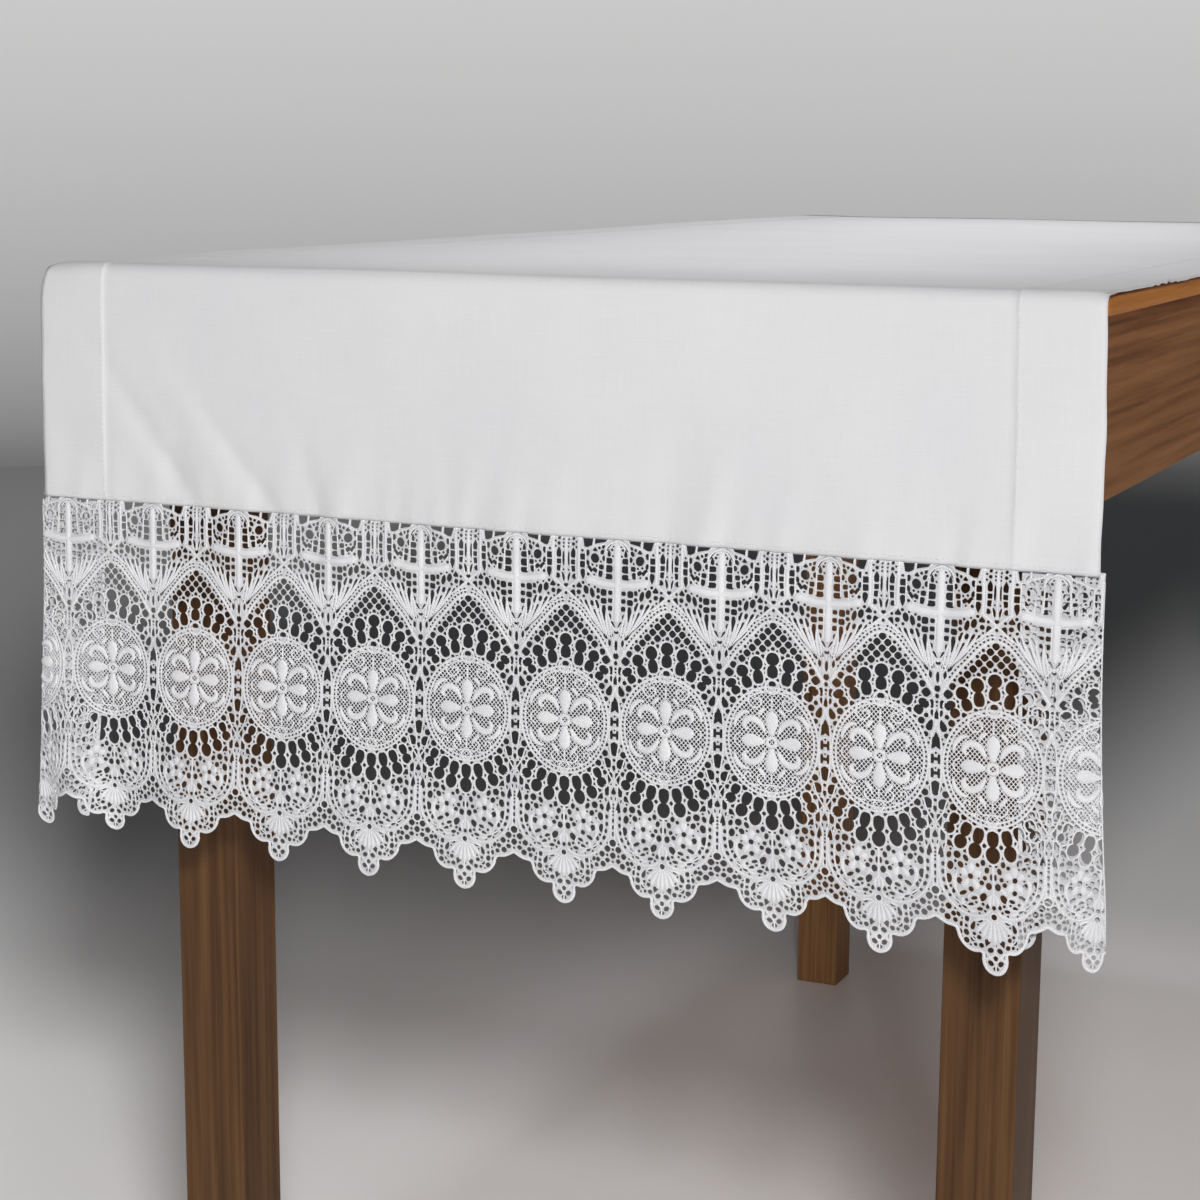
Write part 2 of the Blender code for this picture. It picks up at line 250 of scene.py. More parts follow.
def lace_material(name, low, high):
    m, nt, bsdf = new_material(name)
    twist = node(nt, "ShaderNodeTexWave", Scale=1.0, Distortion=1.2, Detail=1.0)
    twist.wave_type, twist.bands_direction = "BANDS", "DIAGONAL"
    link(nt, coords(nt, (330, 330, 0), "UV"), "Vector", twist, "Vector")
    fuzz = node(nt, "ShaderNodeTexNoise", Scale=1600.0, Detail=3.0, Roughness=0.65)
    link(nt, coords(nt, (1, 1, 1), "Object"), "Vector", fuzz, "Vector")
    tone = node(nt, "ShaderNodeTexNoise", Scale=38.0, Detail=3.0, Roughness=0.6)
    link(nt, coords(nt, (1, 1, 1), "Object"), "Vector", tone, "Vector")
    c1 = ramp(nt, tone, "Fac", [(0.30, srgb(low, low, low + 3)), (0.70, srgb(high, high, high + 1))])
    # the twist's grooves are painted darker and bluer: painted shade between the plies, following the twist bump
    twist_groove_shade = ramp(nt, twist, "Fac", [(0.0, srgb(226, 227, 230)), (0.6, srgb(250, 250, 250))])
    mix = node(nt, "ShaderNodeMix")
    mix.data_type, mix.blend_type = "RGBA", "MULTIPLY"
    mix.inputs["Factor"].default_value = 0.7
    nt.links.new(c1.outputs["Color"], mix.inputs[6])
    nt.links.new(twist_groove_shade.outputs["Color"], mix.inputs[7])
    nt.links.new(mix.outputs[2], bsdf.inputs["Base Color"])
    rough = ramp(nt, fuzz, "Fac", [(0.3, (0.72,) * 3), (0.7, (0.92,) * 3)])
    nt.links.new(rough.outputs["Color"], bsdf.inputs["Roughness"])
    b1 = node(nt, "ShaderNodeBump", Strength=0.5, Distance=0.00014)
    link(nt, twist, "Fac", b1, "Height")
    b2 = node(nt, "ShaderNodeBump", Strength=0.4, Distance=0.00012)
    link(nt, fuzz, "Fac", b2, "Height")
    nt.links.new(b1.outputs["Normal"], b2.inputs["Normal"])
    nt.links.new(b2.outputs["Normal"], bsdf.inputs["Normal"])
    bsdf.inputs["Sheen Weight"].default_value = 0.15
    bsdf.inputs["Sheen Roughness"].default_value = 0.5
    bsdf.inputs["Specular IOR Level"].default_value = 0.3
    return m


def floor_material(value):
    m, nt, bsdf = new_material("studio floor")
    n = node(nt, "ShaderNodeTexNoise", Scale=2.0, Detail=2.0)
    c = ramp(nt, n, "Fac", [(0.3, (value, value, value)), (0.7, (value * 1.02,) * 3)])
    nt.links.new(c.outputs["Color"], bsdf.inputs["Base Color"])
    bsdf.inputs["Roughness"].default_value = 0.95
    bsdf.inputs["Specular IOR Level"].default_value = 0.1
    return m


# ---------------------------------------------------------------- mesh helpers
def smoothstep(t):
    t = np.clip(t, 0.0, 1.0)
    return t * t * (3 - 2 * t)


def mesh_object(name, verts, faces, mat, uv=None, smooth=True):
    me = bpy.data.meshes.new(name)
    me.from_pydata([tuple(map(float, v)) for v in verts], [], faces)
    if uv is not None:
        layer = me.uv_layers.new(name="UVMap")
        idx = np.empty(len(me.loops), dtype=np.int32)
        me.loops.foreach_get("vertex_index", idx)
        layer.data.foreach_set("uv", np.asarray(uv, dtype=np.float32)[idx].ravel())
    me.update()
    if smooth:
        me.shade_smooth()
    ob = bpy.data.objects.new(name, me)
    bpy.context.scene.collection.objects.link(ob)
    me.materials.append(mat)
    return ob


def table_at(table, x, column):
    """Smooth interpolation of a table's column at x, for arrays."""
    x = np.asarray(x, float)
    xs = [r[0] for r in table]
    ys = [r[column] for r in table]
    out = np.full(x.shape, ys[0], float)
    for (xa, ya), (xb, yb) in zip(zip(xs, ys), zip(xs[1:], ys[1:])):
        m = (x > xa) & (x <= xb)
        out[m] = ya + (yb - ya) * smoothstep((x[m] - xa) / (xb - xa))
    out[x > xs[-1]] = ys[-1]
    return out


# ---------------------------------------------------------------- the cloth
#            x_top   drop_top  x_foot   drop_foot  depth    half_width
BAND_FOLDS = (
    (-0.352,  0.045,   -0.262,  0.168,    0.0026,  0.012),
    (-0.318,  0.020,   -0.225,  0.168,   -0.0016,  0.016),
    (-0.262,  0.085,   -0.196,  0.168,    0.0020,  0.010),
    (-0.176,  0.100,   -0.160,  0.168,    0.0016,  0.009),
    (-0.060,  0.095,   -0.050,  0.168,    0.0011,  0.013),
    ( 0.118,  0.070,    0.108,  0.168,    0.0012,  0.016),
    ( 0.262,  0.060,    0.246,  0.168,    0.0014,  0.016),
)


def fold_depth(x, drop):
    d = np.zeros(np.broadcast(x, drop).shape)
    for x0, d0, x1, d1, depth, half in BAND_FOLDS:
        t = (drop - d0) / (d1 - d0)
        xc = x0 + (x1 - x0) * t
        d = d + depth * smoothstep((t + 0.3) / 1.3) * np.exp(-((x - xc) / half) ** 2)
    return d


def value_noise(x, seed, scale):
    """Smooth one-dimensional noise from a small seeded table."""
    rng = np.random.RandomState(seed)
    table = rng.uniform(-1, 1, 512)
    t = np.asarray(x, float) / scale + 200
    i = np.floor(t).astype(int)
    f = t - i
    f = f * f * (3 - 2 * f)
    return table[i % 512] * (1 - f) + table[(i + 1) % 512] * f


def band_inward(x, drop):
    """How far the band stands back from its plane at a place x, a drop below the top."""
    foot = smoothstep((drop - (BAND_DROP - 0.045)) / 0.045)
    low = smoothstep((drop - (BAND_DROP - 0.085)) / 0.085)
    d = fold_depth(x, drop)
    d = d + foot * 0.00075 * value_noise(x + 0.10 * drop, 3, 0.0095)
    d = d + low * 0.0019 * value_noise(x + 0.18 * drop, 5, 0.018)
    return d + 0.0006 * value_noise(x - 0.45 * drop, 8, 0.060) * smoothstep(drop / 0.06)


def array_mesh(name, verts, tris, uv, mat):
    me = bpy.data.meshes.new(name)
    me.vertices.add(len(verts))
    me.vertices.foreach_set("co", np.ascontiguousarray(verts, np.float32).ravel())
    me.loops.add(len(tris) * 3)
    me.loops.foreach_set("vertex_index", np.ascontiguousarray(tris, np.int32).ravel())
    me.polygons.add(len(tris))
    me.polygons.foreach_set("loop_start", np.arange(0, len(tris) * 3, 3, dtype=np.int32))
    me.polygons.foreach_set("loop_total", np.full(len(tris), 3, np.int32))
    layer = me.uv_layers.new(name="UVMap")
    layer.data.foreach_set("uv", np.ascontiguousarray(uv[tris.ravel()], np.float32).ravel())
    me.update(calc_edges=True)
    me.validate()
    me.materials.append(mat)
    ob = bpy.data.objects.new(name, me)
    bpy.context.scene.collection.objects.link(ob)
    return ob


def cloth_surface(s, x_flat):
    """Outer face of the cloth.  s = distance along the cloth from its rear end,
    x_flat = place across it.  Returns the points."""
    top_len = (REAR - 0.0015) - (FRONT + BEND_R)
    arc = BEND_R * math.pi / 2
    drop_len = BAND_DROP - BEND_R
    y = np.zeros_like(s)
    z = np.zeros_like(s)
    ny = np.zeros_like(s)
    nz = np.zeros_like(s)
    m = s <= top_len
    y[m] = (REAR - 0.0015) - s[m]
    z[m] = HEIGHT - LIFT + LIFT * smoothstep((FRONT + BEND_R + LIFT_RUN - y[m]) / LIFT_RUN)
    nz[m] = 1
    m = (s > top_len) & (s <= top_len + arc)
    a = (s[m] - top_len) / BEND_R
    y[m] = FRONT + BEND_R - BEND_R * np.sin(a)
    z[m] = HEIGHT - BEND_R + BEND_R * np.cos(a)
    ny[m], nz[m] = -np.sin(a), np.cos(a)
    m = s > top_len + arc
    drop = BEND_R + (s - top_len - arc)
    y[m] = FRONT
    z[m] = HEIGHT - drop[m]
    ny[m] = -1
    dropc = np.clip(drop, BEND_R, BAND_DROP)
    flare = 1 + (BAND_FLARE - 1) * (dropc - BEND_R) / (BAND_DROP - BEND_R)
    x = x_flat * flare
    # soft folds, then the small puckers above the seam to the lace
    inward = np.where(m, band_inward(x, dropc), 0.0)
    # doubled side hems stand a little proud, with the stitch line drawn in
    edge = HALF - np.abs(x_flat)
    hem = smoothstep((HEM_W + 0.0012 - edge) / 0.0022)
    wave = value_noise(s, 11, 0.05)
    out = 0.00045 * hem - 0.00040 * np.exp(-((edge - HEM_W - 0.0016) / 0.0011) ** 2)
    # the hem's outer edge rolls over, and puckers between stitches
    out = out - 0.0006 * smoothstep((0.004 - edge) / 0.004) * (1.0 + 0.3 * wave)
    # little wrinkles and waves on the top, mostly near the sides
    top = (s < top_len + arc * 0.4)
    side = np.exp(-(edge / 0.05) ** 2)
    crease = 0.00055 * value_noise(s * 1.0 + edge * 0.8, 21, 0.022) * side * (x_flat > 0)
    crease = crease + 0.0005 * value_noise(s + 0.4 * x_flat, 23, 0.075) * side
    crease = crease + 0.0004 * value_noise(s - 0.9 * x_flat, 29, 0.13)
    out = out + np.where(top, np.maximum(crease, -0.0002) + 0.0002, 0.0)
    # small bunched wrinkles on the right side of the top, behind the front corner
    bunch = np.exp(-((top_len - s - 0.150) / 0.036) ** 2) * (x_flat > 0) * smoothstep((0.070 - edge) / 0.065)
    out = out + bunch * 0.0021 * (0.5 + 0.5 * np.sin((s * 1.0 + edge * 0.5) * 2 * math.pi / 0.019)) ** 1.5 * top
    # beside the bend the side edges come down to the board
    lifted = smoothstep((s - (top_len - LIFT_RUN)) / LIFT_RUN) * smoothstep((top_len + arc * 0.75 - s) / (arc * 0.7))
    out = out - 0.0013 * lifted * smoothstep((0.007 - edge) / 0.006)
    corner = np.exp(-((s - top_len - arc * 0.45) / 0.020) ** 2) * np.exp(-(edge / 0.022) ** 2) * (x_flat < 0)
    off = out - inward - 0.0022 * corner
    x = x + 0.0034 * np.exp(-((s - top_len - arc * 0.45) / 0.011) ** 2) * np.exp(-(edge / 0.03) ** 2) * (x_flat < 0)
    # the side edges aren't quite straight
    x = x + np.sign(x_flat) * np.exp(-(edge / 0.06) ** 2) * (0.0011 * value_noise(s, 41, 0.07) + 0.0007 * value_noise(s, 43, 0.025))
    return np.stack([x, y + ny * off, z + nz * off], -1)


def build_stitches(mat, total):
    """Rows of hem stitches: small raised threads along both side hems and the foot."""
    pitch, half_len = 0.0038, 0.00125
    side_s = np.arange(0.006, total - 0.004, pitch)
    rows = []
    for sign in (-1, 1):
        xs = np.full_like(side_s, sign * (HALF - HEM_W + 0.0013))
        rows.append((side_s, xs, np.ones_like(xs), np.zeros_like(xs)))
    foot_x = np.arange(-HALF + 0.004, HALF - 0.003, pitch)
    rows.append((np.full_like(foot_x, total - 0.0032), foot_x, np.zeros_like(foot_x), np.ones_like(foot_x)))
    S, X, DS, DX = (np.concatenate([r[k] for r in rows]) for k in range(4))
    rng = np.random.RandomState(7)
    S = S + rng.uniform(-0.0002, 0.0002, len(S)) * DX
    X = X + rng.uniform(-0.0002, 0.0002, len(X)) * DS
    e = 0.0008
    stations = []
    for t, lift, w in ((-1.0, -0.00012, 0.00014), (-0.45, 0.00022, 0.00027), (0.45, 0.00022, 0.00027), (1.0, -0.00012, 0.00014)):
        ps, px = S + DS * t * half_len, X + DX * t * half_len
        c = cloth_surface(ps, px)
        ds = cloth_surface(ps + e, px) - cloth_surface(ps - e, px)
        dx = cloth_surface(ps, px + e) - cloth_surface(ps, px - e)
        n = np.cross(dx, ds)
        n /= np.linalg.norm(n, axis=1)[:, None]
        n = -n
        across = np.where(DS[:, None] > 0, dx, ds)
        across /= np.linalg.norm(across, axis=1)[:, None]
        c = c + n * lift
        stations.append(np.stack([c - across * w, c + n * 0.00018, c + across * w, c - n * 0.00016], 1))
    v = np.stack(stations, 1)                       # stitch, station, corner, xyz
    count = len(S)
    base = np.arange(count)[:, None] * 16
    local = []
    for a in range(3):
        for j in range(4):
            p, q = a * 4 + j, a * 4 + (j + 1) % 4
            local += [(p, q, q + 4), (p, q + 4, p + 4)]
    local += [(0, 2, 1), (0, 3, 2), (12, 13, 14), (12, 14, 15)]
    local = np.array(local)
    tris = (base[:, :, None] + local[None]).reshape(-1, 3)
    verts = v.reshape(-1, 3)
    # faces must look outwards: turn each stitch whose volume comes out negative
    a, b, c = verts[tris[:, 0]], verts[tris[:, 1]], verts[tris[:, 2]]
    mid = np.repeat(v.reshape(count, 16, 3).mean(1), len(local), 0)
    vol = np.einsum("ij,ij->i", a - mid, np.cross(b - mid, c - mid)).reshape(count, -1).sum(1)
    bad = np.repeat(vol < 0, len(local))
    tris[bad] = tris[bad][:, ::-1]
    uv = np.stack([verts[:, 0], verts[:, 1] + verts[:, 2]], 1)
    ob = array_mesh("hem_stitches", verts, tris, uv, mat)
    ob.data.shade_smooth()
    return ob


def build_cloth(mat):
    top_len = (REAR - 0.0015) - (FRONT + BEND_R)
    arc = BEND_R * math.pi / 2
    total = top_len + arc + BAND_DROP - BEND_R
    # stations: coarse over the top, fine over the bend and the band
    st = list(np.linspace(0, top_len - 0.26, 36, endpoint=False))
    st += list(np.linspace(top_len - 0.26, top_len, 36, endpoint=False))
    st += list(np.linspace(top_len, top_len + arc, 10, endpoint=False))
    st += list(np.linspace(top_len + arc, total, 56))
    hemx = HALF - HEM_W
    cols = list(np.linspace(-HALF, -hemx - 0.003, 14, endpoint=False))
    cols += list(np.linspace(-hemx - 0.003, -hemx + 0.001, 7, endpoint=False))
    cols += list(np.linspace(-hemx + 0.001, hemx - 0.001, 150, endpoint=False))
    cols += list(np.linspace(hemx - 0.001, hemx + 0.003, 7, endpoint=False))
    cols += list(np.linspace(hemx + 0.003, HALF, 15))
    S, X = np.meshgrid(np.array(st), np.array(cols), indexing="ij")
    pts = cloth_surface(S, X)
    n, k = S.shape
    verts = pts.reshape(-1, 3)
    uv = np.stack([X.ravel(), S.ravel()], -1)
    faces = []
    for i in range(n - 1):
        for j in range(k - 1):
            a = i * k + j
            faces.append((a, a + k, a + k + 1, a + 1))
    ob = mesh_object("cloth_linen", verts, faces, mat, uv)
    sol = ob.modifiers.new("thickness", "SOLIDIFY")
    sol.thickness = 0.0009
    sol.offset = -1.0
    sol.use_even_offset = True
    return ob, total


linen = linen_material()
cloth, cloth_length = build_cloth(linen)
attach(cloth, "root")
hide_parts("altar_cloth")
thread, nt_, bsdf_ = new_material("white sewing thread")
ply = node(nt_, "ShaderNodeTexNoise", Scale=2400.0, Detail=2.0, Roughness=0.6)
link(nt_, coords(nt_, (1, 1, 1), "Object"), "Vector", ply, "Vector")
tint = ramp(nt_, ply, "Fac", [(0.3, srgb(228, 228, 230)), (0.7, srgb(246, 246, 246))])
nt_.links.new(tint.outputs["Color"], bsdf_.inputs["Base Color"])
bsdf_.inputs["Roughness"].default_value = 0.6
stitches = build_stitches(thread, cloth_length)
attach(stitches, "root")

# ---------------------------------------------------------------- the lace chart
# One repeat of the border, charted in millimetres: x from the oval's axis
# (0) to the cross's axis (36), y down from the band.  Both are axes of symmetry.
REP = 72.0
FOOT = 253.4                     # y of the tips
OVAL = (0.0, 124.8, 31.7, 36.7)  # centre and half axes of the oval cartouche

# lower edge, from the tip to the notch: aside, above the tip
SCALLOP = ((0.0, 0.0), (2.2, 0.3), (4.4, 1.3), (6.4, 3.2), (7.8, 6.0), (8.4, 9.2), (8.2, 12.2), (8.8, 13.6),
           (10.6, 13.0), (13.0, 12.9), (15.6, 13.5), (18.4, 15.2), (20.8, 17.8), (22.4, 20.8), (23.2, 23.8),
           (24.0, 26.0), (25.8, 26.5), (28.6, 26.8), (31.4, 27.8), (33.8, 29.2), (36.0, 30.6))

# holes: kind, x, y, width across, length along, tilt of the long axis (degrees)
HOLES = (
    # between the band and the fork and ring motifs
    ("poly", ((11.4, 0.3), (18.5, 0.3), (18.3, 4.3), (15.2, 6.0), (12.7, 5.8))),
    ("poly", ((19.9, 0.3), (29.4, 0.3), (27.4, 1.9), (23.4, 2.7), (20.0, 3.5))),
    ("poly", ((28.0, 7.4), (29.2, 4.2), (31.2, 1.9), (32.8, 0.5), (34.2, 0.4), (32.4, 2.6), (30.7, 4.8), (29.5, 7.6))),
    ("oval", 33.4, 4.0, 1.5, 1.2, 0), ("oval", 26.2, 4.9, 2.6, 1.3, 75),
    # fork under the oval's axis
    ("oval", 5.0, 1.1, 1.3, 1.2, 0), ("oval", 5.0, 4.6, 1.5, 1.7, 0),
    ("drop", 5.0, 10.4, 4.4, 6.2, 0), ("box", 5.0, 16.7, 3.2, 2.6, 0), ("box", 4.9, 21.2, 2.8, 3.2, 0),
    ("oval", 1.9, 14.6, 0.8, 9.0, 0), ("oval", 2.4, 26.8, 1.9, 5.2, -12), ("oval", 5.8, 26.3, 2.4, 3.0, -25),
    ("oval", 0.0, 32.4, 2.4, 2.2, 0),
    # ladders beside the tapes
    ("box", 11.9, 12.6, 3.8, 3.4, 0), ("box", 11.8, 17.7, 3.8, 3.6, 0), ("drop", 11.9, 24.2, 4.0, 6.4, 180),
    ("oval", 15.0, 9.6, 2.2, 3.8, 0), ("tri", 20.4, 7.0, 3.4, 2.2, 0), ("oval", 15.3, 16.4, 1.6, 3.4, 10),
    ("oval", 20.3, 13.0, 5.0, 5.8, 25), ("box", 24.9, 18.6, 2.8, 2.6, 0), ("oval", 25.6, 8.6, 2.0, 3.0, -30),
    ("box", 16.9, 20.4, 1.9, 4.0, 40), ("box", 24.2, 23.2, 3.6, 2.4, 80), ("box", 20.4, 21.0, 2.0, 3.0, 50),
    ("drop", 30.3, 8.8, 2.4, 4.4, 0), ("box", 30.2, 14.0, 4.2, 3.2, 0), ("box", 30.2, 19.4, 4.6, 4.2, 0),
    ("box", 30.1, 24.6, 4.6, 3.0, 0), ("oval", 26.7, 12.7, 1.9, 3.0, 0),
    # chevrons and triangles round the crossing
    ("tri", 9.3, 31.6, 4.4, 3.4, 0), ("tri", 5.3, 38.0, 4.2, 4.6, 215), ("oval", 14.2, 34.6, 3.0, 5.2, 12),
    # mesh below the arms of the cross
    ("oval", 18.6, 36.4, 2.4, 6.2, 14), ("oval", 21.6, 42.8, 1.8, 3.2, 14), ("box", 22.8, 34.6, 1.8, 2.6, 0),
    ("box", 26.6, 35.6, 3.6, 3.8, 0), ("box", 26.8, 41.2, 3.6, 3.2, 0), ("box", 27.0, 49.0, 2.1, 9.2, 0),
    ("box", 31.4, 35.4, 2.4, 2.2, 0), ("box", 31.4, 40.6, 2.6, 2.4, 0), ("box", 31.4, 45.8, 2.6, 2.6, 0),
    ("oval", 31.0, 51.4, 1.8, 3.2, 0),
    ("oval", 11.9, 43.6, 1.0, 4.8, 42), ("oval", 17.1, 46.0, 1.2, 7.0, 28), ("oval", 22.4, 51.6, 1.2, 7.2, 24),
    ("oval", 19.8, 55.6, 0.9, 4.2, 38), ("oval", 26.2, 61.4, 1.0, 4.6, 32), ("oval", 29.6, 60.6, 1.0, 5.4, 22),
    ("tri", 33.3, 57.0, 4.2, 4.2, 235), ("oval", 36.0, 61.7, 2.6, 1.8, 0), ("tri", 32.4, 62.9, 3.0, 3.8, 0),
    ("oval", 31.4, 69.0, 1.4, 4.6, 0), ("oval", 36.0, 70.6, 1.4, 6.4, 0), ("oval", 36.0, 77.8, 3.2, 3.6, 0),
    ("oval", 36.0, 82.6, 1.8, 2.4, 0),
    # keyhole loops above and below the oval
    ("key", 0.0, 65.2, 0.0, 82.4, 9.0), ("key", 11.6, 68.6, 8.9, 86.6, 8.5), ("key", 22.0, 75.4, 15.6, 89.8, 8.2),
    ("key", 29.4, 85.4, 22.8, 94.6, 7.6),
    ("key", 0.0, 184.2, 0.0, 163.6, 9.0), ("key", 12.3, 182.2, 7.9, 162.8, 8.3), ("key", 22.0, 177.0, 14.9, 160.4, 8.0),
    ("key", 29.0, 168.2, 22.4, 155.6, 7.2),
    # column between the ovals
    ("box", 29.0, 80.9, 4.6, 4.6, 40), ("oval", 32.5, 87.6, 3.2, 5.0, 12), ("tri", 36.0, 93.9, 3.4, 6.0, 0),
    ("oval", 33.1, 93.4, 1.3, 3.4, 8), ("drop", 32.0, 101.0, 5.0, 7.4, -20), ("star", 36.0, 111.4, 8.2, 10.4, 0),
    ("aitch", 36.0, 122.6, 6.0, 5.4, 0), ("aitch", 36.0, 131.6, 6.0, 5.4, 0), ("dia", 36.0, 141.2, 7.4, 8.8, 0),
    ("oval", 31.2, 151.0, 5.2, 6.4, 35), ("tri", 36.0, 154.6, 3.4, 3.6, 180), ("drop", 33.1, 161.2, 3.8, 7.2, 170),
    ("oval", 27.2, 174.6, 2.6, 3.4, -20), ("box", 31.2, 170.2, 2.3, 6.2, 0), ("tri", 36.0, 169.8, 3.8, 4.6, 0),
    ("oval", 34.0, 175.6, 1.3, 2.6, 0), ("tri", 32.4, 180.6, 3.8, 7.6, 0), ("oval", 30.0, 176.8, 1.6, 2.2, 0),
    ("oval", 36.0, 190.6, 1.4, 2.2, 0), ("oval", 36.0, 195.2, 1.4, 2.2, 0), ("oval", 36.0, 199.8, 1.6, 2.4, 0),
    ("oval", 36.0, 206.0, 4.8, 5.0, 0),
    # small net round the loops
    ("oval", 6.3, 184.2, 2.3, 3.2, 0), ("oval", 3.9, 188.6, 2.2, 3.4, 15), ("oval", 1.3, 192.6, 1.0, 3.4, 0),
    ("oval", 5.2, 193.6, 2.0, 2.2, 0), ("oval", 17.0, 182.6, 2.2, 3.8, -30), ("oval", 22.3, 181.2, 3.8, 4.0, 0),
    ("oval", 20.2, 187.2, 3.4, 2.8, 60), ("oval", 27.4, 182.0, 2.2, 3.6, 20), ("oval", 25.0, 175.6, 1.4, 2.0, 0),
    # flower, scroll and leaves
    ("oval", 14.1, 193.6, 2.6, 2.8, 0), ("oval", 2.8, 198.4, 3.0, 3.8, 0), ("oval", 6.5, 205.6, 3.2, 5.2, 35),
    ("oval", 20.9, 197.4, 2.8, 3.6, -15), ("oval", 27.6, 196.8, 3.2, 5.2, 0), ("oval", 26.6, 188.6, 3.2, 4.8, 10),
    ("oval", 31.2, 188.4, 1.4, 2.4, 0), ("oval", 31.3, 193.4, 1.4, 2.4, 0), ("oval", 30.7, 198.4, 1.4, 2.4, -10),
    ("oval", 29.4, 203.2, 1.5, 2.6, -30),
    ("oval", 12.0, 206.9, 1.5, 3.4, 70), ("oval", 18.8, 204.6, 1.7, 4.4, 60), ("oval", 24.4, 204.0, 1.6, 3.6, 15),
    ("oval", 22.6, 209.8, 1.5, 3.8, -35), ("oval", 14.2, 211.4, 1.6, 3.4, 55), ("oval", 17.9, 213.0, 1.6, 3.0, -60),
    ("oval", 8.6, 213.2, 1.5, 3.2, 80), ("oval", 3.7, 211.0, 1.8, 2.6, 30), ("oval", 0.0, 211.6, 1.8, 2.2, 0),
    ("oval", 0.0, 217.2, 3.4, 3.6, 0),
    # round the fan
    ("oval", 8.7, 220.6, 1.4, 2.8, 70), ("drop", 13.0, 223.8, 2.8, 5.6, 20), ("oval", 16.8, 220.6, 2.4, 2.6, 0),
    ("oval", 20.4, 224.4, 1.6, 2.8, 10), ("oval", 17.4, 229.0, 3.2, 2.6, 70), ("oval", 13.4, 232.6, 2.4, 2.4, 0),
    ("oval", 9.7, 231.0, 2.1, 2.1, 0), ("tri", 5.0, 234.0, 3.6, 4.0, 200), ("oval", 22.0, 218.6, 1.8, 2.6, -30),
    # net above the notch
    ("dia", 32.0, 210.4, 3.8, 3.8, 0), ("dia", 36.0, 214.8, 3.6, 3.8, 0), ("dia", 28.0, 214.6, 3.4, 3.4, 0),
    ("dia", 32.0, 218.4, 3.0, 2.6, 0), ("dia", 25.0, 218.8, 2.6, 2.6, 0),
    # flower in the tongue
    ("oval", 2.9, 238.0, 2.4, 3.2, 60), ("oval", 0.0, 242.4, 2.0, 3.8, 0), ("oval", 3.1, 246.0, 2.4, 3.2, -50),
    ("oval", 0.0, 249.2, 3.0, 2.1, 0), ("oval", 0.0, 234.9, 1.2, 1.5, 0),
)

# the pointed arch over each oval (its innermost cord), from the apex outwards
ARCH = ((0.0, 44.8), (3.0, 45.2), (6.5, 46.9), (10.0, 50.0), (14.0, 54.6), (19.0, 60.4), (24.4, 66.8), (29.6, 74.6), (33.4, 80.0))

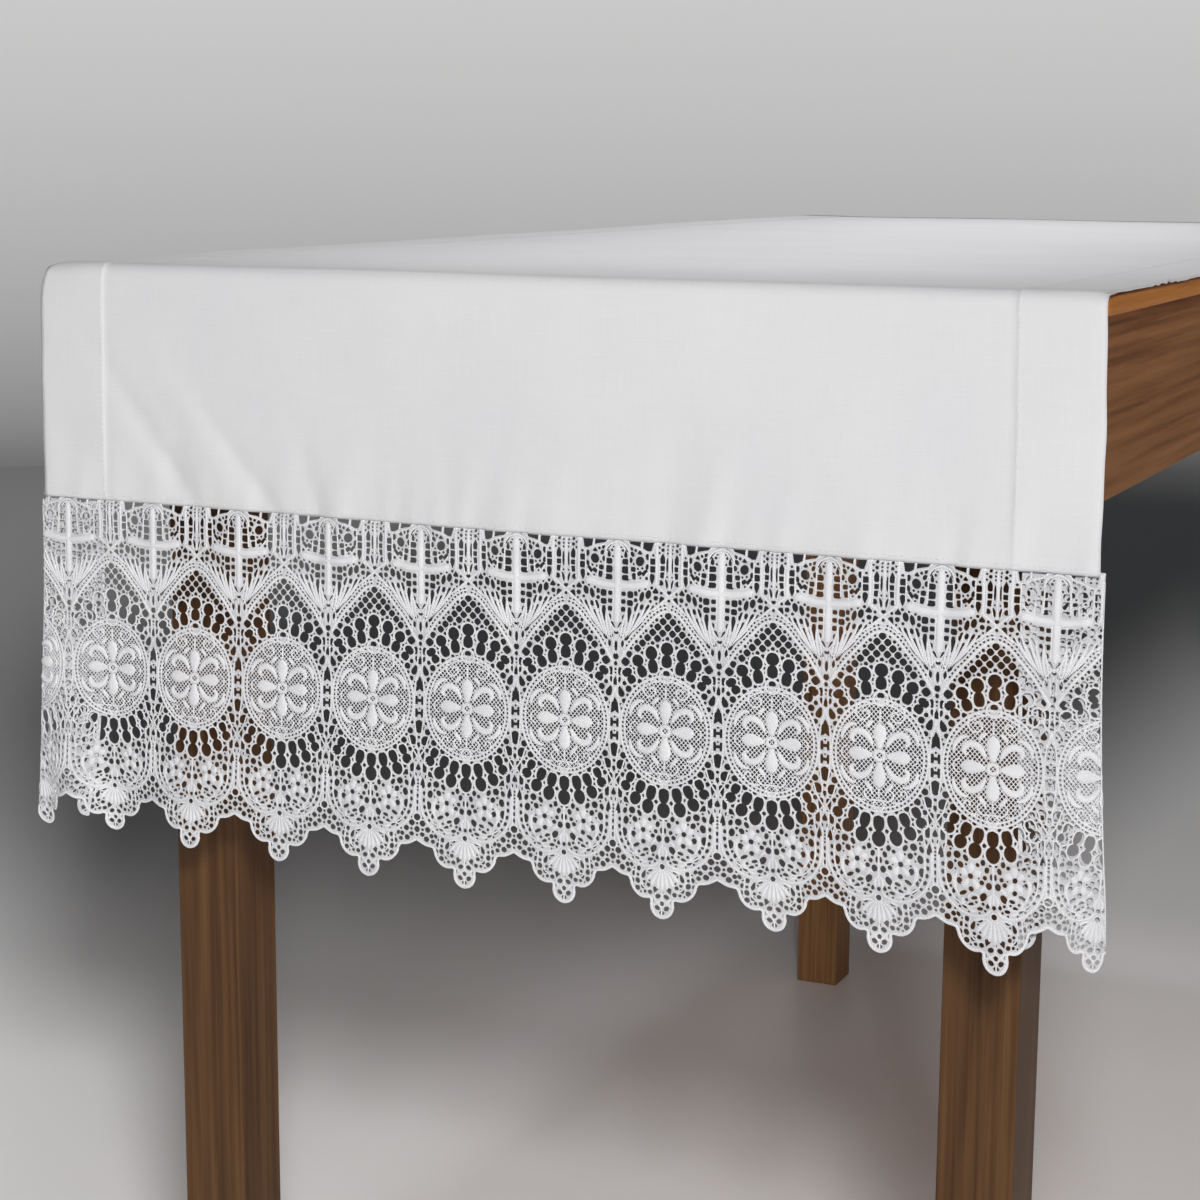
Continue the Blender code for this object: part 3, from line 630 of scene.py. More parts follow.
# raised cords and satin shapes: kind, width, height, points.  "satin" swells in the
# middle and tapers to its ends, "cord" keeps its width, "tape" is a flat cord.
HALF_STROKES = (
    ("tape", 2.0, 0.55, ((8.7, -2.0), (9.0, 4.0), (8.9, 12.0), (8.8, 20.0), (8.9, 27.0))),
    ("cord", 0.9, 0.45, ((2.9, -2.0), (2.9, 8.0), (3.0, 18.0), (3.6, 24.0), (2.2, 31.0))),
    ("cord", 0.9, 0.45, ((7.3, 8.0), (6.9, 14.0), (6.9, 20.0), (7.2, 27.0))),
    ("cord", 1.0, 0.50, ((10.2, -1.5), (10.6, 3.0), (12.0, 7.0), (14.0, 8.0))),
    ("cord", 1.0, 0.45, ((13.8, 7.2), (13.9, 13.0), (13.8, 20.0), (14.2, 28.0))),
    ("cord", 1.1, 0.50, ((13.2, 7.4), (16.6, 6.8), (19.2, 5.0), (19.3, -1.0))),
    ("cord", 1.1, 0.50, ((19.4, 5.0), (23.0, 4.0), (27.0, 3.2), (30.2, -1.0))),
    ("cord", 1.2, 0.55, ((27.2, 9.6), (28.6, 5.6), (31.0, 2.7), (33.6, 1.3), (36.0, 0.9))),
    ("cord", 0.9, 0.50, ((30.2, 6.0), (31.4, 4.8), (33.6, 3.0), (36.0, 2.6))),
    ("cord", 1.0, 0.45, ((28.0, 10.0), (27.9, 17.0), (27.7, 25.0))),
    ("cord", 1.0, 0.45, ((22.6, 19.0), (22.4, 24.0), (22.2, 27.0))),
    ("cord", 1.0, 0.45, ((15.0, 20.0), (18.4, 24.6), (22.0, 26.2))),
    ("cord", 1.7, 0.70, ((-0.2, 35.3), (3.0, 32.6), (6.4, 29.8), (9.8, 27.2))),
    ("cord", 1.7, 0.70, ((-0.2, 35.1), (3.4, 38.2), (7.0, 41.4), (10.6, 44.6))),
    # crossbar of the cross, one arm
    ("bar", 5.2, 1.15, ((14.9, 27.6), (20.0, 28.6), (26.0, 29.5), (31.0, 29.9), (36.0, 30.0))),
    # leaves of the frond
    ("satin", 2.1, 0.75, ((10.2, 39.0), (14.4, 46.2), (19.4, 53.6), (25.0, 60.4))),
    ("satin", 2.1, 0.75, ((14.6, 38.4), (17.6, 46.4), (22.0, 54.6), (27.6, 63.4))),
    ("satin", 2.0, 0.75, ((19.6, 38.8), (21.4, 46.0), (24.4, 54.0), (29.0, 64.6))),
    ("satin", 1.9, 0.70, ((24.0, 41.6), (24.8, 48.0), (27.0, 56.0), (30.4, 66.0))),
    ("satin", 1.8, 0.70, ((29.0, 45.0), (28.9, 52.0), (29.8, 59.0), (32.0, 67.6))),
    ("satin", 1.6, 0.65, ((29.4, 42.0), (29.4, 48.0), (31.6, 56.0), (33.2, 66.0))),
    ("cord", 1.0, 0.50, ((33.6, 32.4), (33.6, 44.0), (33.4, 54.2))),
    # bow under the cross
    ("cord", 1.0, 0.55, ((31.2, 54.4), (34.0, 58.6), (36.4, 60.8))), ("cord", 1.0, 0.55, ((30.4, 66.0), (33.6, 60.4), (36.4, 58.9))),
    ("cord", 1.0, 0.50, ((33.8, 65.0), (34.1, 70.0), (34.4, 75.0))), ("cord", 0.9, 0.45, ((29.9, 67.0), (29.9, 73.0), (31.6, 77.0))),
    ("cord", 1.0, 0.50, ((34.6, 80.0), (33.0, 83.6), (29.8, 86.0))), ("cord", 0.9, 0.45, ((34.6, 84.4), (34.4, 90.0), (34.2, 97.6))),
    ("cord", 1.0, 0.50, ((30.4, 90.4), (32.0, 96.0), (35.6, 99.0))), ("cord", 1.0, 0.50, ((36.0, 98.0), (35.2, 102.0), (33.6, 106.4))),
    # ladder rails between the ovals, and the star's points
    ("cord", 1.1, 0.60, ((33.6, 106.0), (32.6, 114.0), (32.4, 124.0), (32.5, 134.0), (33.2, 142.0), (34.2, 147.6))),
    ("cord", 1.0, 0.50, ((34.0, 147.6), (34.6, 152.0), (33.9, 156.6), (36.0, 158.2))),
    ("cord", 1.0, 0.50, ((28.4, 148.0), (30.8, 155.6), (35.6, 163.4))), ("cord", 0.9, 0.45, ((36.0, 164.0), (34.6, 166.6), (29.8, 166.4))),
    ("cord", 0.9, 0.45, ((33.5, 167.0), (33.3, 173.6), (34.2, 178.4), (34.8, 186.0))), ("cord", 0.9, 0.45, ((29.2, 167.6), (28.8, 174.0), (30.4, 180.4), (29.4, 185.4))),
    # cords round the oval: double line, volutes at its head and foot
    ("cord", 1.3, 0.60, ((5.2, 92.2), (9.5, 90.9), (13.6, 92.3), (16.0, 96.0), (15.2, 100.6), (11.4, 102.9), (7.7, 101.0), (7.2, 97.6), (9.6, 95.9), (11.9, 97.4))),
    ("cord", 1.2, 0.55, ((2.6, 153.6), (5.6, 154.4), (8.8, 152.4), (9.6, 149.2), (7.4, 146.8), (4.6, 147.6), (4.4, 150.2))),
    ("cord", 1.2, 0.55, ((9.4, 154.4), (14.6, 154.0), (18.2, 150.4), (17.4, 146.4), (14.0, 146.6), (14.2, 149.4))),
    # flower with five broad petals beside the fan's axis
    ("petal", 5.2, 0.95, ((14.1, 191.6), (13.8, 188.2), (13.2, 184.9))), ("petal", 5.2, 0.95, ((16.0, 192.8), (18.6, 191.2), (20.4, 189.4))),
    ("petal", 5.0, 0.95, ((15.4, 195.4), (17.4, 198.4), (18.4, 201.6))), ("petal", 5.0, 0.95, ((12.6, 195.4), (10.8, 198.4), (9.6, 201.4))),
    ("petal", 5.2, 0.95, ((12.2, 192.6), (9.6, 191.0), (7.4, 189.6))),
    # scroll round it and its inner curl
    ("cord", 1.5, 0.70, ((33.6, 183.4), (33.9, 190.0), (33.3, 197.6), (31.2, 204.2), (26.8, 210.9), (20.4, 215.8), (12.6, 218.0), (5.6, 216.6), (2.4, 213.6))),
    ("cord", 1.2, 0.60, ((29.0, 184.6), (29.6, 191.0), (28.9, 199.0), (26.4, 205.4), (21.4, 210.6), (14.4, 212.6), (9.4, 210.6), (8.6, 206.6), (11.4, 204.0), (14.8, 205.0), (15.2, 207.8))),
    ("satin", 2.4, 0.75, ((22.0, 191.6), (24.0, 197.0), (22.6, 204.0))), ("satin", 2.2, 0.75, ((24.6, 193.0), (24.4, 200.0), (20.4, 208.0))),
    ("satin", 2.6, 0.80, ((3.6, 201.4), (5.6, 199.6), (8.2, 203.4))), ("satin", 2.4, 0.75, ((0.6, 203.0), (2.6, 206.6), (2.0, 212.0))),
    ("satin", 2.2, 0.70, ((10.4, 214.8), (13.6, 215.0), (16.8, 213.0))), ("satin", 2.0, 0.70, ((18.0, 207.0), (19.6, 209.6), (17.0, 211.4))),
    # rays of the fan
    ("ray", 2.7, 0.85, ((1.2, 219.8), (2.6, 226.0), (3.4, 232.4))), ("ray", 2.7, 0.85, ((1.8, 219.6), (5.2, 225.0), (7.4, 230.4))),
    ("ray", 2.6, 0.85, ((2.6, 219.2), (7.4, 223.0), (11.0, 227.4))), ("ray", 2.2, 0.80, ((3.4, 218.8), (8.6, 219.4), (12.4, 221.0))),
    ("cord", 1.0, 0.50, ((14.6, 219.6), (15.4, 224.6), (14.8, 230.0), (11.4, 233.6), (7.6, 233.6))),
    ("cord", 1.0, 0.50, ((18.4, 218.6), (18.9, 224.0), (19.4, 228.2))),
    # flower in the tongue
    ("cord", 1.1, 0.55, ((-0.6, 240.0), (2.8, 242.0), (6.2, 244.4))), ("cord", 1.1, 0.55, ((0.4, 245.6), (2.8, 242.6), (6.0, 239.4))),
)
FROND = (15, 20)     # rows of the frond's leaves above
M_AXIS_STROKES = (
    ("satin", 2.2, 0.70, ((0.0, -1.0), (0.0, 12.0), (0.0, 25.0))), ("cord", 1.3, 0.6, ((0.0, 25.0), (0.0, 31.0))),
    ("cord", 1.2, 0.55, ((0.0, 184.4), (0.0, 196.0), (0.0, 209.8))), ("ray", 2.8, 0.9, ((0.0, 219.6), (0.0, 226.0), (0.0, 233.4))),
    ("cord", 1.0, 0.5, ((0.0, 233.6), (0.0, 240.4))), ("cord", 1.0, 0.5, ((0.0, 244.4), (0.0, 251.0))),
)
C_AXIS_STROKES = (
    ("post", 4.7, 1.2, ((36.0, 3.8), (36.0, 16.0), (36.0, 30.0), (36.0, 42.0), (36.0, 54.4))),
    ("cord", 0.9, 0.5, ((36.0, 63.0), (36.0, 67.0))), ("cord", 0.9, 0.45, ((36.0, 74.4), (36.0, 75.8))),
    ("cord", 1.0, 0.5, ((32.6, 118.0), (36.0, 117.4), (39.4, 118.0))), ("cord", 1.0, 0.5, ((32.6, 127.1), (36.0, 126.7), (39.4, 127.1))),
    ("cord", 1.0, 0.5, ((32.8, 136.0), (36.0, 135.6), (39.2, 136.0))), ("cord", 1.0, 0.5, ((34.2, 148.0), (36.0, 147.0), (37.8, 148.0))),
    ("cord", 1.1, 0.55, ((34.6, 176.6), (34.7, 190.0), (34.8, 203.0))), ("cord", 1.1, 0.55, ((37.4, 176.6), (37.3, 190.0), (37.2, 203.0))),
)
# ornament in the oval: a rosette with curling leaves, of the chart's own design
SPRIG_HALF = (
    ("petal", 8.6, 1.30, ((4.6, 124.8), (10.0, 124.8), (15.0, 124.8), (20.6, 124.8))),
    ("satin", 4.6, 1.20, ((4.2, 119.2), (7.2, 113.6), (12.4, 110.2), (17.2, 111.6), (18.6, 115.8), (15.6, 117.6))),
    ("satin", 4.6, 1.20, ((4.2, 130.4), (7.2, 136.0), (12.4, 139.4), (17.2, 138.0), (18.6, 133.8), (15.6, 132.0))),
    ("satin", 3.4, 1.05, ((14.6, 105.6), (19.6, 106.6), (23.6, 111.0), (25.0, 116.8))),
    ("satin", 3.4, 1.05, ((14.6, 144.0), (19.6, 143.0), (23.6, 138.6), (25.0, 132.8))),
    ("cord", 1.2, 0.70, ((21.4, 120.4), (24.2, 122.4), (24.6, 124.8), (24.2, 127.2), (21.4, 129.2))),
    ("satin", 2.8, 0.95, ((3.6, 102.6), (6.8, 104.2), (9.2, 107.6))), ("satin", 2.8, 0.95, ((3.6, 147.0), (6.8, 145.4), (9.2, 142.0))),
)
SPRIG_AXIS = (
    ("petal", 8.6, 1.30, ((0.0, 120.2), (0.0, 114.6), (0.0, 109.6), (0.0, 103.8))),
    ("petal", 8.6, 1.30, ((0.0, 129.4), (0.0, 135.0), (0.0, 140.0), (0.0, 145.8))),
    ("cord", 1.2, 0.70, ((0.0, 103.4), (0.0, 96.0))), ("cord", 1.1, 0.60, ((0.0, 146.2), (0.0, 152.6))),
)

PROFILES = {
    "thin": ((-1, 0), (0, 1), (1, 0), (0, -0.9)),
    "round": ((-1, 0), (-0.52, 0.86), (0.52, 0.86), (1, 0), (0, -0.7)),
    "crown": ((-1, -0.1), (-0.80, 0.60), (-0.32, 0.96), (0.32, 0.96), (0.80, 0.60), (1, -0.1), (0, -0.5)),
}
STROKE_KINDS = {                 # profile, half-width along the stroke from 0 to 1
    "cord": ("round", ((0, 1), (1, 1))),
    "tape": ("crown", ((0, 1), (1, 1))),
    "thread": ("thin", ((0, 1), (1, 1))),
    "satin": ("crown", ((0, 0.12), (0.12, 0.55), (0.35, 0.98), (0.6, 1.0), (0.85, 0.62), (1, 0.15))),
    "petal": ("crown", ((0, 0.30), (0.2, 0.62), (0.5, 1.0), (0.72, 1.0), (0.9, 0.66), (1, 0.10))),
    "ray": ("crown", ((0, 0.25), (0.4, 0.62), (0.75, 1.0), (0.92, 0.9), (1, 0.45))),
    "bar": ("crown", ((0, 0.92), (0.08, 1.05), (0.3, 0.84), (0.7, 0.76), (1, 0.78))),
    "post": ("crown", ((0, 0.84), (0.08, 1.0), (0.45, 0.92), (0.6, 0.86), (0.93, 0.88), (1, 0.8))),
}


def spline(points, step, closed=False):
    """Points at even steps on a smooth curve through the given ones."""
    p = np.asarray(points, float)
    if len(p) == 2 and not closed:
        n = max(2, int(round(np.linalg.norm(p[1] - p[0]) / step)) + 1)
        return p[0] + (p[1] - p[0]) * np.linspace(0, 1, n)[:, None]
    if closed:
        q = np.vstack([p[-1], p, p[0], p[1]])
    else:
        q = np.vstack([2 * p[0] - p[1], p, 2 * p[-1] - p[-2]])
    out = []
    t = np.linspace(0, 1, 12, endpoint=False)[:, None]
    for a, b, c, d in zip(q, q[1:], q[2:], q[3:]):
        out.append(0.5 * ((2 * b) + (c - a) * t + (2 * a - 5 * b + 4 * c - d) * t ** 2 + (3 * b - a - 3 * c + d) * t ** 3))
    out = np.vstack(out + [p[:1] if closed else p[-1:]])
    seg = np.r_[0, np.cumsum(np.linalg.norm(np.diff(out, axis=0), axis=1))]
    n = max(3, int(round(seg[-1] / step)) + 1)
    s = np.linspace(0, seg[-1], n)
    return np.stack([np.interp(s, seg, out[:, k]) for k in (0, 1)], 1)


class Shapes:
    """Collects closed shapes in chart space: (x, y, height), triangles and UV."""

    def __init__(self):
        self.v, self.t, self.uv, self.n = [], [], [], 0

    def add(self, v, t, uv):
        self.v.append(v)
        self.t.append(np.asarray(t, np.int64) + self.n)
        self.uv.append(uv)
        self.n += len(v)

    def arrays(self):
        return np.vstack(self.v), np.vstack(self.t), np.vstack(self.uv)


def stroke(shapes, kind, width, height, points, step=1.5, closed=False, base=0.25, inside=None):
    profile, widths = STROKE_KINDS[kind]
    prof = np.array(PROFILES[profile], float)
    path = spline(points, step, closed)
    if inside is not None:
        keep = inside(path[:, 0], path[:, 1])
        runs, run = [], []
        for p, k in zip(path, keep):
            if k:
                run.append(p)
            elif run:
                runs.append(run)
                run = []
        if run:
            runs.append(run)
        if not (len(runs) == 1 and len(runs[0]) == len(path)):
            for r in runs:
                if len(r) >= 3:
                    sweep(shapes, np.array(r), prof, widths, width, height, base, False)
            return
    sweep(shapes, path, prof, widths, width, height, base, closed)


def sweep(shapes, path, prof, widths, width, height, base, closed):
    if closed:
        path = path[:-1]
    n = len(path)
    if closed:
        tan = np.roll(path, -1, 0) - np.roll(path, 1, 0)
    else:
        tan = np.gradient(path, axis=0)
    tan /= np.maximum(np.linalg.norm(tan, axis=1), 1e-9)[:, None]
    nor = np.stack([-tan[:, 1], tan[:, 0]], 1)
    seg = np.r_[0, np.cumsum(np.linalg.norm(np.diff(path, axis=0), axis=1))]
    s = seg / max(seg[-1], 1e-9)
    w = np.interp(s, [a for a, _ in widths], [b for _, b in widths]) * width / 2
    hgt = height * np.minimum(1.0, 0.35 + 0.65 * w / (width / 2))
    if not closed:
        # rounded ends
        lead = min(width * 0.28, 0.8)
        path = np.vstack([path[0] - tan[0] * lead * w[0] / (width / 2), path, path[-1] + tan[-1] * lead * w[-1] / (width / 2)])
        nor = np.vstack([nor[:1], nor, nor[-1:]])
        hgt = np.r_[hgt[0] * 0.55, hgt, hgt[-1] * 0.55]
        seg = np.r_[-lead, seg, seg[-1] + lead]
        w = np.r_[w[0] * 0.55, w, w[-1] * 0.55]
        n += 2
    k = len(prof)
    v = np.zeros((n, k, 3))
    v[:, :, :2] = path[:, None, :] + nor[:, None, :] * (w[:, None] * prof[None, :, 0])[:, :, None]
    up_ = np.where(prof[None, :, 1] > 0, prof[None, :, 1] * hgt[:, None], prof[None, :, 1] * hgt[:, None] * 0.8)
    v[:, :, 2] = base + up_
    uv = np.zeros((n, k, 2))
    uv[:, :, 0] = seg[:, None]
    uv[:, :, 1] = (w[:, None] * prof[None, :, 0])
    tris = []
    rows = range(n) if closed else range(n - 1)
    for i in rows:
        a, b = i * k, ((i + 1) % n) * k
        for j in range(k):
            j2 = (j + 1) % k
            tris.append((a + j, a + j2, b + j2))
            tris.append((a + j, b + j2, b + j))
    verts, uvs = v.reshape(-1, 3), uv.reshape(-1, 2)
    if not closed:
        for j in range(1, k - 1):
            tris.append((0, j + 1, j))
            e = (n - 1) * k
            tris.append((e, e + j, e + j + 1))
    shapes.add(verts, tris, uvs)


GROW = 0.88      # how much wider than charted the small holes open


def hole_outline(h):
    kind = h[0]
    if kind == "poly":
        return np.array(h[1], float)
    if kind == "key":
        x0, y0, x1, y1, w = h[1:]
        prof = ((0.0, 0.0), (0.03, 0.42), (0.10, 0.76), (0.22, 0.98), (0.34, 0.97), (0.44, 0.74), (0.505, 0.36),
                (0.56, 0.62), (0.68, 0.80), (0.82, 0.82), (0.93, 0.70), (1.0, 0.42))
        a = np.array((x0, y0)); d = np.array((x1, y1)) - a
        L = np.linalg.norm(d); d /= L
        n = np.array((-d[1], d[0]))
        left = [a + d * s * L + n * q * w / 2 for s, q in prof]
        right = [a + d * s * L - n * q * w / 2 for s, q in prof[1:]]
        return np.array(left + right[::-1])
    _, x, y, w, l, tilt = h
    w, l = w + GROW, l + GROW
    size = math.pi * (w + l) / 2
    n = max(8, int(round(size / 1.15)))
    th = np.linspace(0, 2 * math.pi, n, endpoint=False) + math.pi / n
    c, s = np.cos(th), np.sin(th)
    if kind == "oval":
        a, b = c, s
    elif kind == "box":
        a, b = np.sign(c) * np.abs(c) ** 0.6, np.sign(s) * np.abs(s) ** 0.6
    elif kind == "dia":
        a, b = np.sign(c) * np.abs(c) ** 1.25, np.sign(s) * np.abs(s) ** 1.25
    elif kind == "drop":
        a, b = c * (0.62 + 0.38 * s) * 1.08, s
    elif kind == "tri":
        a, b = c * (0.5 + 0.5 * s) * 1.25, np.where(s > 0, np.abs(s) ** 0.8, s)
    elif kind == "star":
        n = 20
        th = np.linspace(0, 2 * math.pi, n, endpoint=False) - math.pi / 2
        r = np.where(np.arange(n) % 4 == 0, 1.12, np.where(np.arange(n) % 4 == 2, 0.58, 0.80))
        a, b = np.cos(th) * r, np.sin(th) * r
    elif kind == "aitch":
        pts = ((-1, -0.9), (-0.4, -1), (-0.3, -0.35), (0.3, -0.35), (0.4, -1), (1, -0.9), (1, 0), (1, 0.9), (0.4, 1),
               (0.3, 0.35), (-0.3, 0.35), (-0.4, 1), (-1, 0.9), (-1, 0))
        a, b = np.array([p[0] for p in pts]), np.array([p[1] for p in pts])
    a, b = a * w / 2, b * l / 2
    t = math.radians(tilt)
    return np.stack([x + a * math.cos(t) + b * math.sin(t), y - a * math.sin(t) + b * math.cos(t)], 1)


def inside_polygon(poly, x, y):
    px, py = poly[:, 0], poly[:, 1]
    qx, qy = np.roll(px, -1), np.roll(py, -1)
    res = np.zeros(x.shape, bool)
    for a, b, c, d in zip(px, py, qx, qy):
        if b == d:
            continue
        hit = ((b > y) != (d > y)) & (x < (c - a) * (y - b) / (d - b) + a)
        res ^= hit
    return res


def arch_y(x):
    return np.interp(x, [p[0] for p in ARCH], [p[1] for p in ARCH])


def nearest(points, marks):
    """Distance from each point to the nearest mark, in the plane."""
    tree = KDTree(len(marks))
    for i, q in enumerate(marks):
        tree.insert((q[0], q[1], 0.0), i)
    tree.balance()
    return np.array([tree.find((q[0], q[1], 0.0))[2] for q in points])


def filler(holes):
    """Round holes that open the plain ground left between the motifs."""
    gx, gy = np.meshgrid(np.arange(0.0, 36.01, 0.6), np.arange(1.2, FOOT, 0.6))
    p = np.stack([gx.ravel(), gy.ravel()], 1)
    room = scallop_y(p[:, 0]) - p[:, 1] - 2.9
    room = np.minimum(room, np.where(p[:, 1] < 30, p[:, 1] - 0.6, 9.0))
    cx, cy_, ax, ay = OVAL
    room = np.where(((p[:, 0] - cx) / (ax + 1)) ** 2 + ((p[:, 1] - cy_) / (ay + 1)) ** 2 < 1, -1, room)
    marks, reach = [], []
    for h in holes:
        q = np.roll(h, -1, 0)
        for t in (0, 0.25, 0.5, 0.75):
            marks.append(h + (q - h) * t)
            reach.append(np.full(len(h), 0.72))
        room[inside_polygon(h, p[:, 0], p[:, 1])] = -1
    for kind, w, _, pts in HALF_STROKES + M_AXIS_STROKES + C_AXIS_STROKES:
        path = spline(pts, 0.8)
        marks.append(path)
        solid_ = kind in ("satin", "petal", "ray", "bar", "post", "tape")
        reach.append(np.full(len(path), w * (0.44 if solid_ else 0.5) + (0.10 if solid_ else 0.0)))
    for d in (0.0, 2.7, 5.0):
        path = offset_path(ARCH, d, 0.8)
        marks.append(path)
        reach.append(np.full(len(path), 0.9 if d == 0 else 0.5))
    marks, reach = np.vstack(marks), np.round(np.concatenate(reach), 1)
    near = np.full(len(p), 9.0)
    for value in np.unique(reach):
        near = np.minimum(near, nearest(p, marks[reach == value]) - value)
    room = np.minimum(room, near)
    # a hole on the seam of two halves is centred on it
    off = np.minimum(p[:, 0], 36 - p[:, 0])
    room = np.where((off > 0.01) & (off < 0.7), np.minimum(room, off - 0.45), room)
    found = []
    while len(found) < 185:
        i = int(np.argmax(room))
        r = float(room[i])
        if r < 0.64:
            break
        r = min(r, 2.3)
        c = p[i]
        found.append(hole_outline(("oval", c[0], c[1], 2 * r - GROW, 2 * r - GROW, 0)))
        gap = np.hypot(p[:, 0] - c[0], p[:, 1] - c[1]) - r - 0.76
        # and its mirror images across the two axes
        gap = np.minimum(gap, np.hypot(p[:, 0] + c[0], p[:, 1] - c[1]) - r - 0.76)
        gap = np.minimum(gap, np.hypot(72 - p[:, 0] - c[0], p[:, 1] - c[1]) - r - 0.76)
        room = np.minimum(room, gap)
    return found


def all_holes():
    holes = [hole_outline(h) for h in HOLES]
    keys = [hole_outline(h) for h in HOLES if h[0] == "key"]
    # diamond net under the arch
    for r in range(11):
        y = 47.9 + 3.85 * r
        for k in range(-1, 6):
            x = 6.9 * k + (3.45 if r % 2 else 0.0)
            if x < -0.1 or x > 31 or (x > 24 and y > 74):
                continue
            if y - 2.0 < arch_y(x) + 0.7 or y - 2.0 < arch_y(x + 1.8) + 0.5:
                continue
            o = hole_outline(("dia", x, y, 4.25, 4.25, 0))
            grown = [np.mean(q, 0) + (q - np.mean(q, 0)) * 1.16 for q in keys]
            if any(inside_polygon(g, o[:, 0], o[:, 1]).any() for g in grown):
                continue
            holes.append(o)
    # dots between the parallel cords of the arch and of the oval
    holes += dotted(offset_path(ARCH, 1.6)[:-4], 2.9, 0.75, 2.2)
    holes += dotted(offset_path(ARCH, 4.0)[:-14], 2.9, 0.65, 2.6)
    holes += dotted(oval_path(1.6, 90), 3.0, 0.7, 3.4)
    # slits between the leaves of the frond
    leaves = [spline(st[3], 1.0) for st in HALF_STROKES[FROND[0]:FROND[1]]]
    leaves.insert(0, offset_path(ARCH, 5.6)[6:34])
    for a_, b_ in zip(leaves, leaves[1:]):
        t_ = np.linspace(0, 1, 41)
        ra = np.stack([np.interp(t_, np.linspace(0, 1, len(a_)), a_[:, c_]) for c_ in (0, 1)], 1)
        rb = np.stack([np.interp(t_, np.linspace(0, 1, len(b_)), b_[:, c_]) for c_ in (0, 1)], 1)
        mid, gap = (ra + rb) / 2, np.linalg.norm(ra - rb, axis=1)
        for t0 in (5, 14, 23, 32):
            d_ = mid[t0 + 4] - mid[t0]
            length = np.linalg.norm(d_) * 1.75
            wide = gap[t0 + 2] - 2.4
            if wide > 0.1:
                holes.append(hole_outline(("oval", *mid[t0 + 2], min(wide, 2.0) - 0.2, length - 1.6,
                                           math.degrees(math.atan2(d_[0], d_[1])))))
    # the oval's ground is net, so its whole inside is open here
    cx, cy_, ax, ay = OVAL
    th = np.linspace(0, 2 * math.pi, 64, endpoint=False)
    holes.append(np.stack([cx + (ax - 3.1) * np.cos(th), cy_ + (ay - 3.1) * np.sin(th)], 1))
    return holes + filler(holes)


def scallop_y(x):
    return FOOT - np.interp(x, [p[0] for p in SCALLOP], [p[1] for p in SCALLOP])


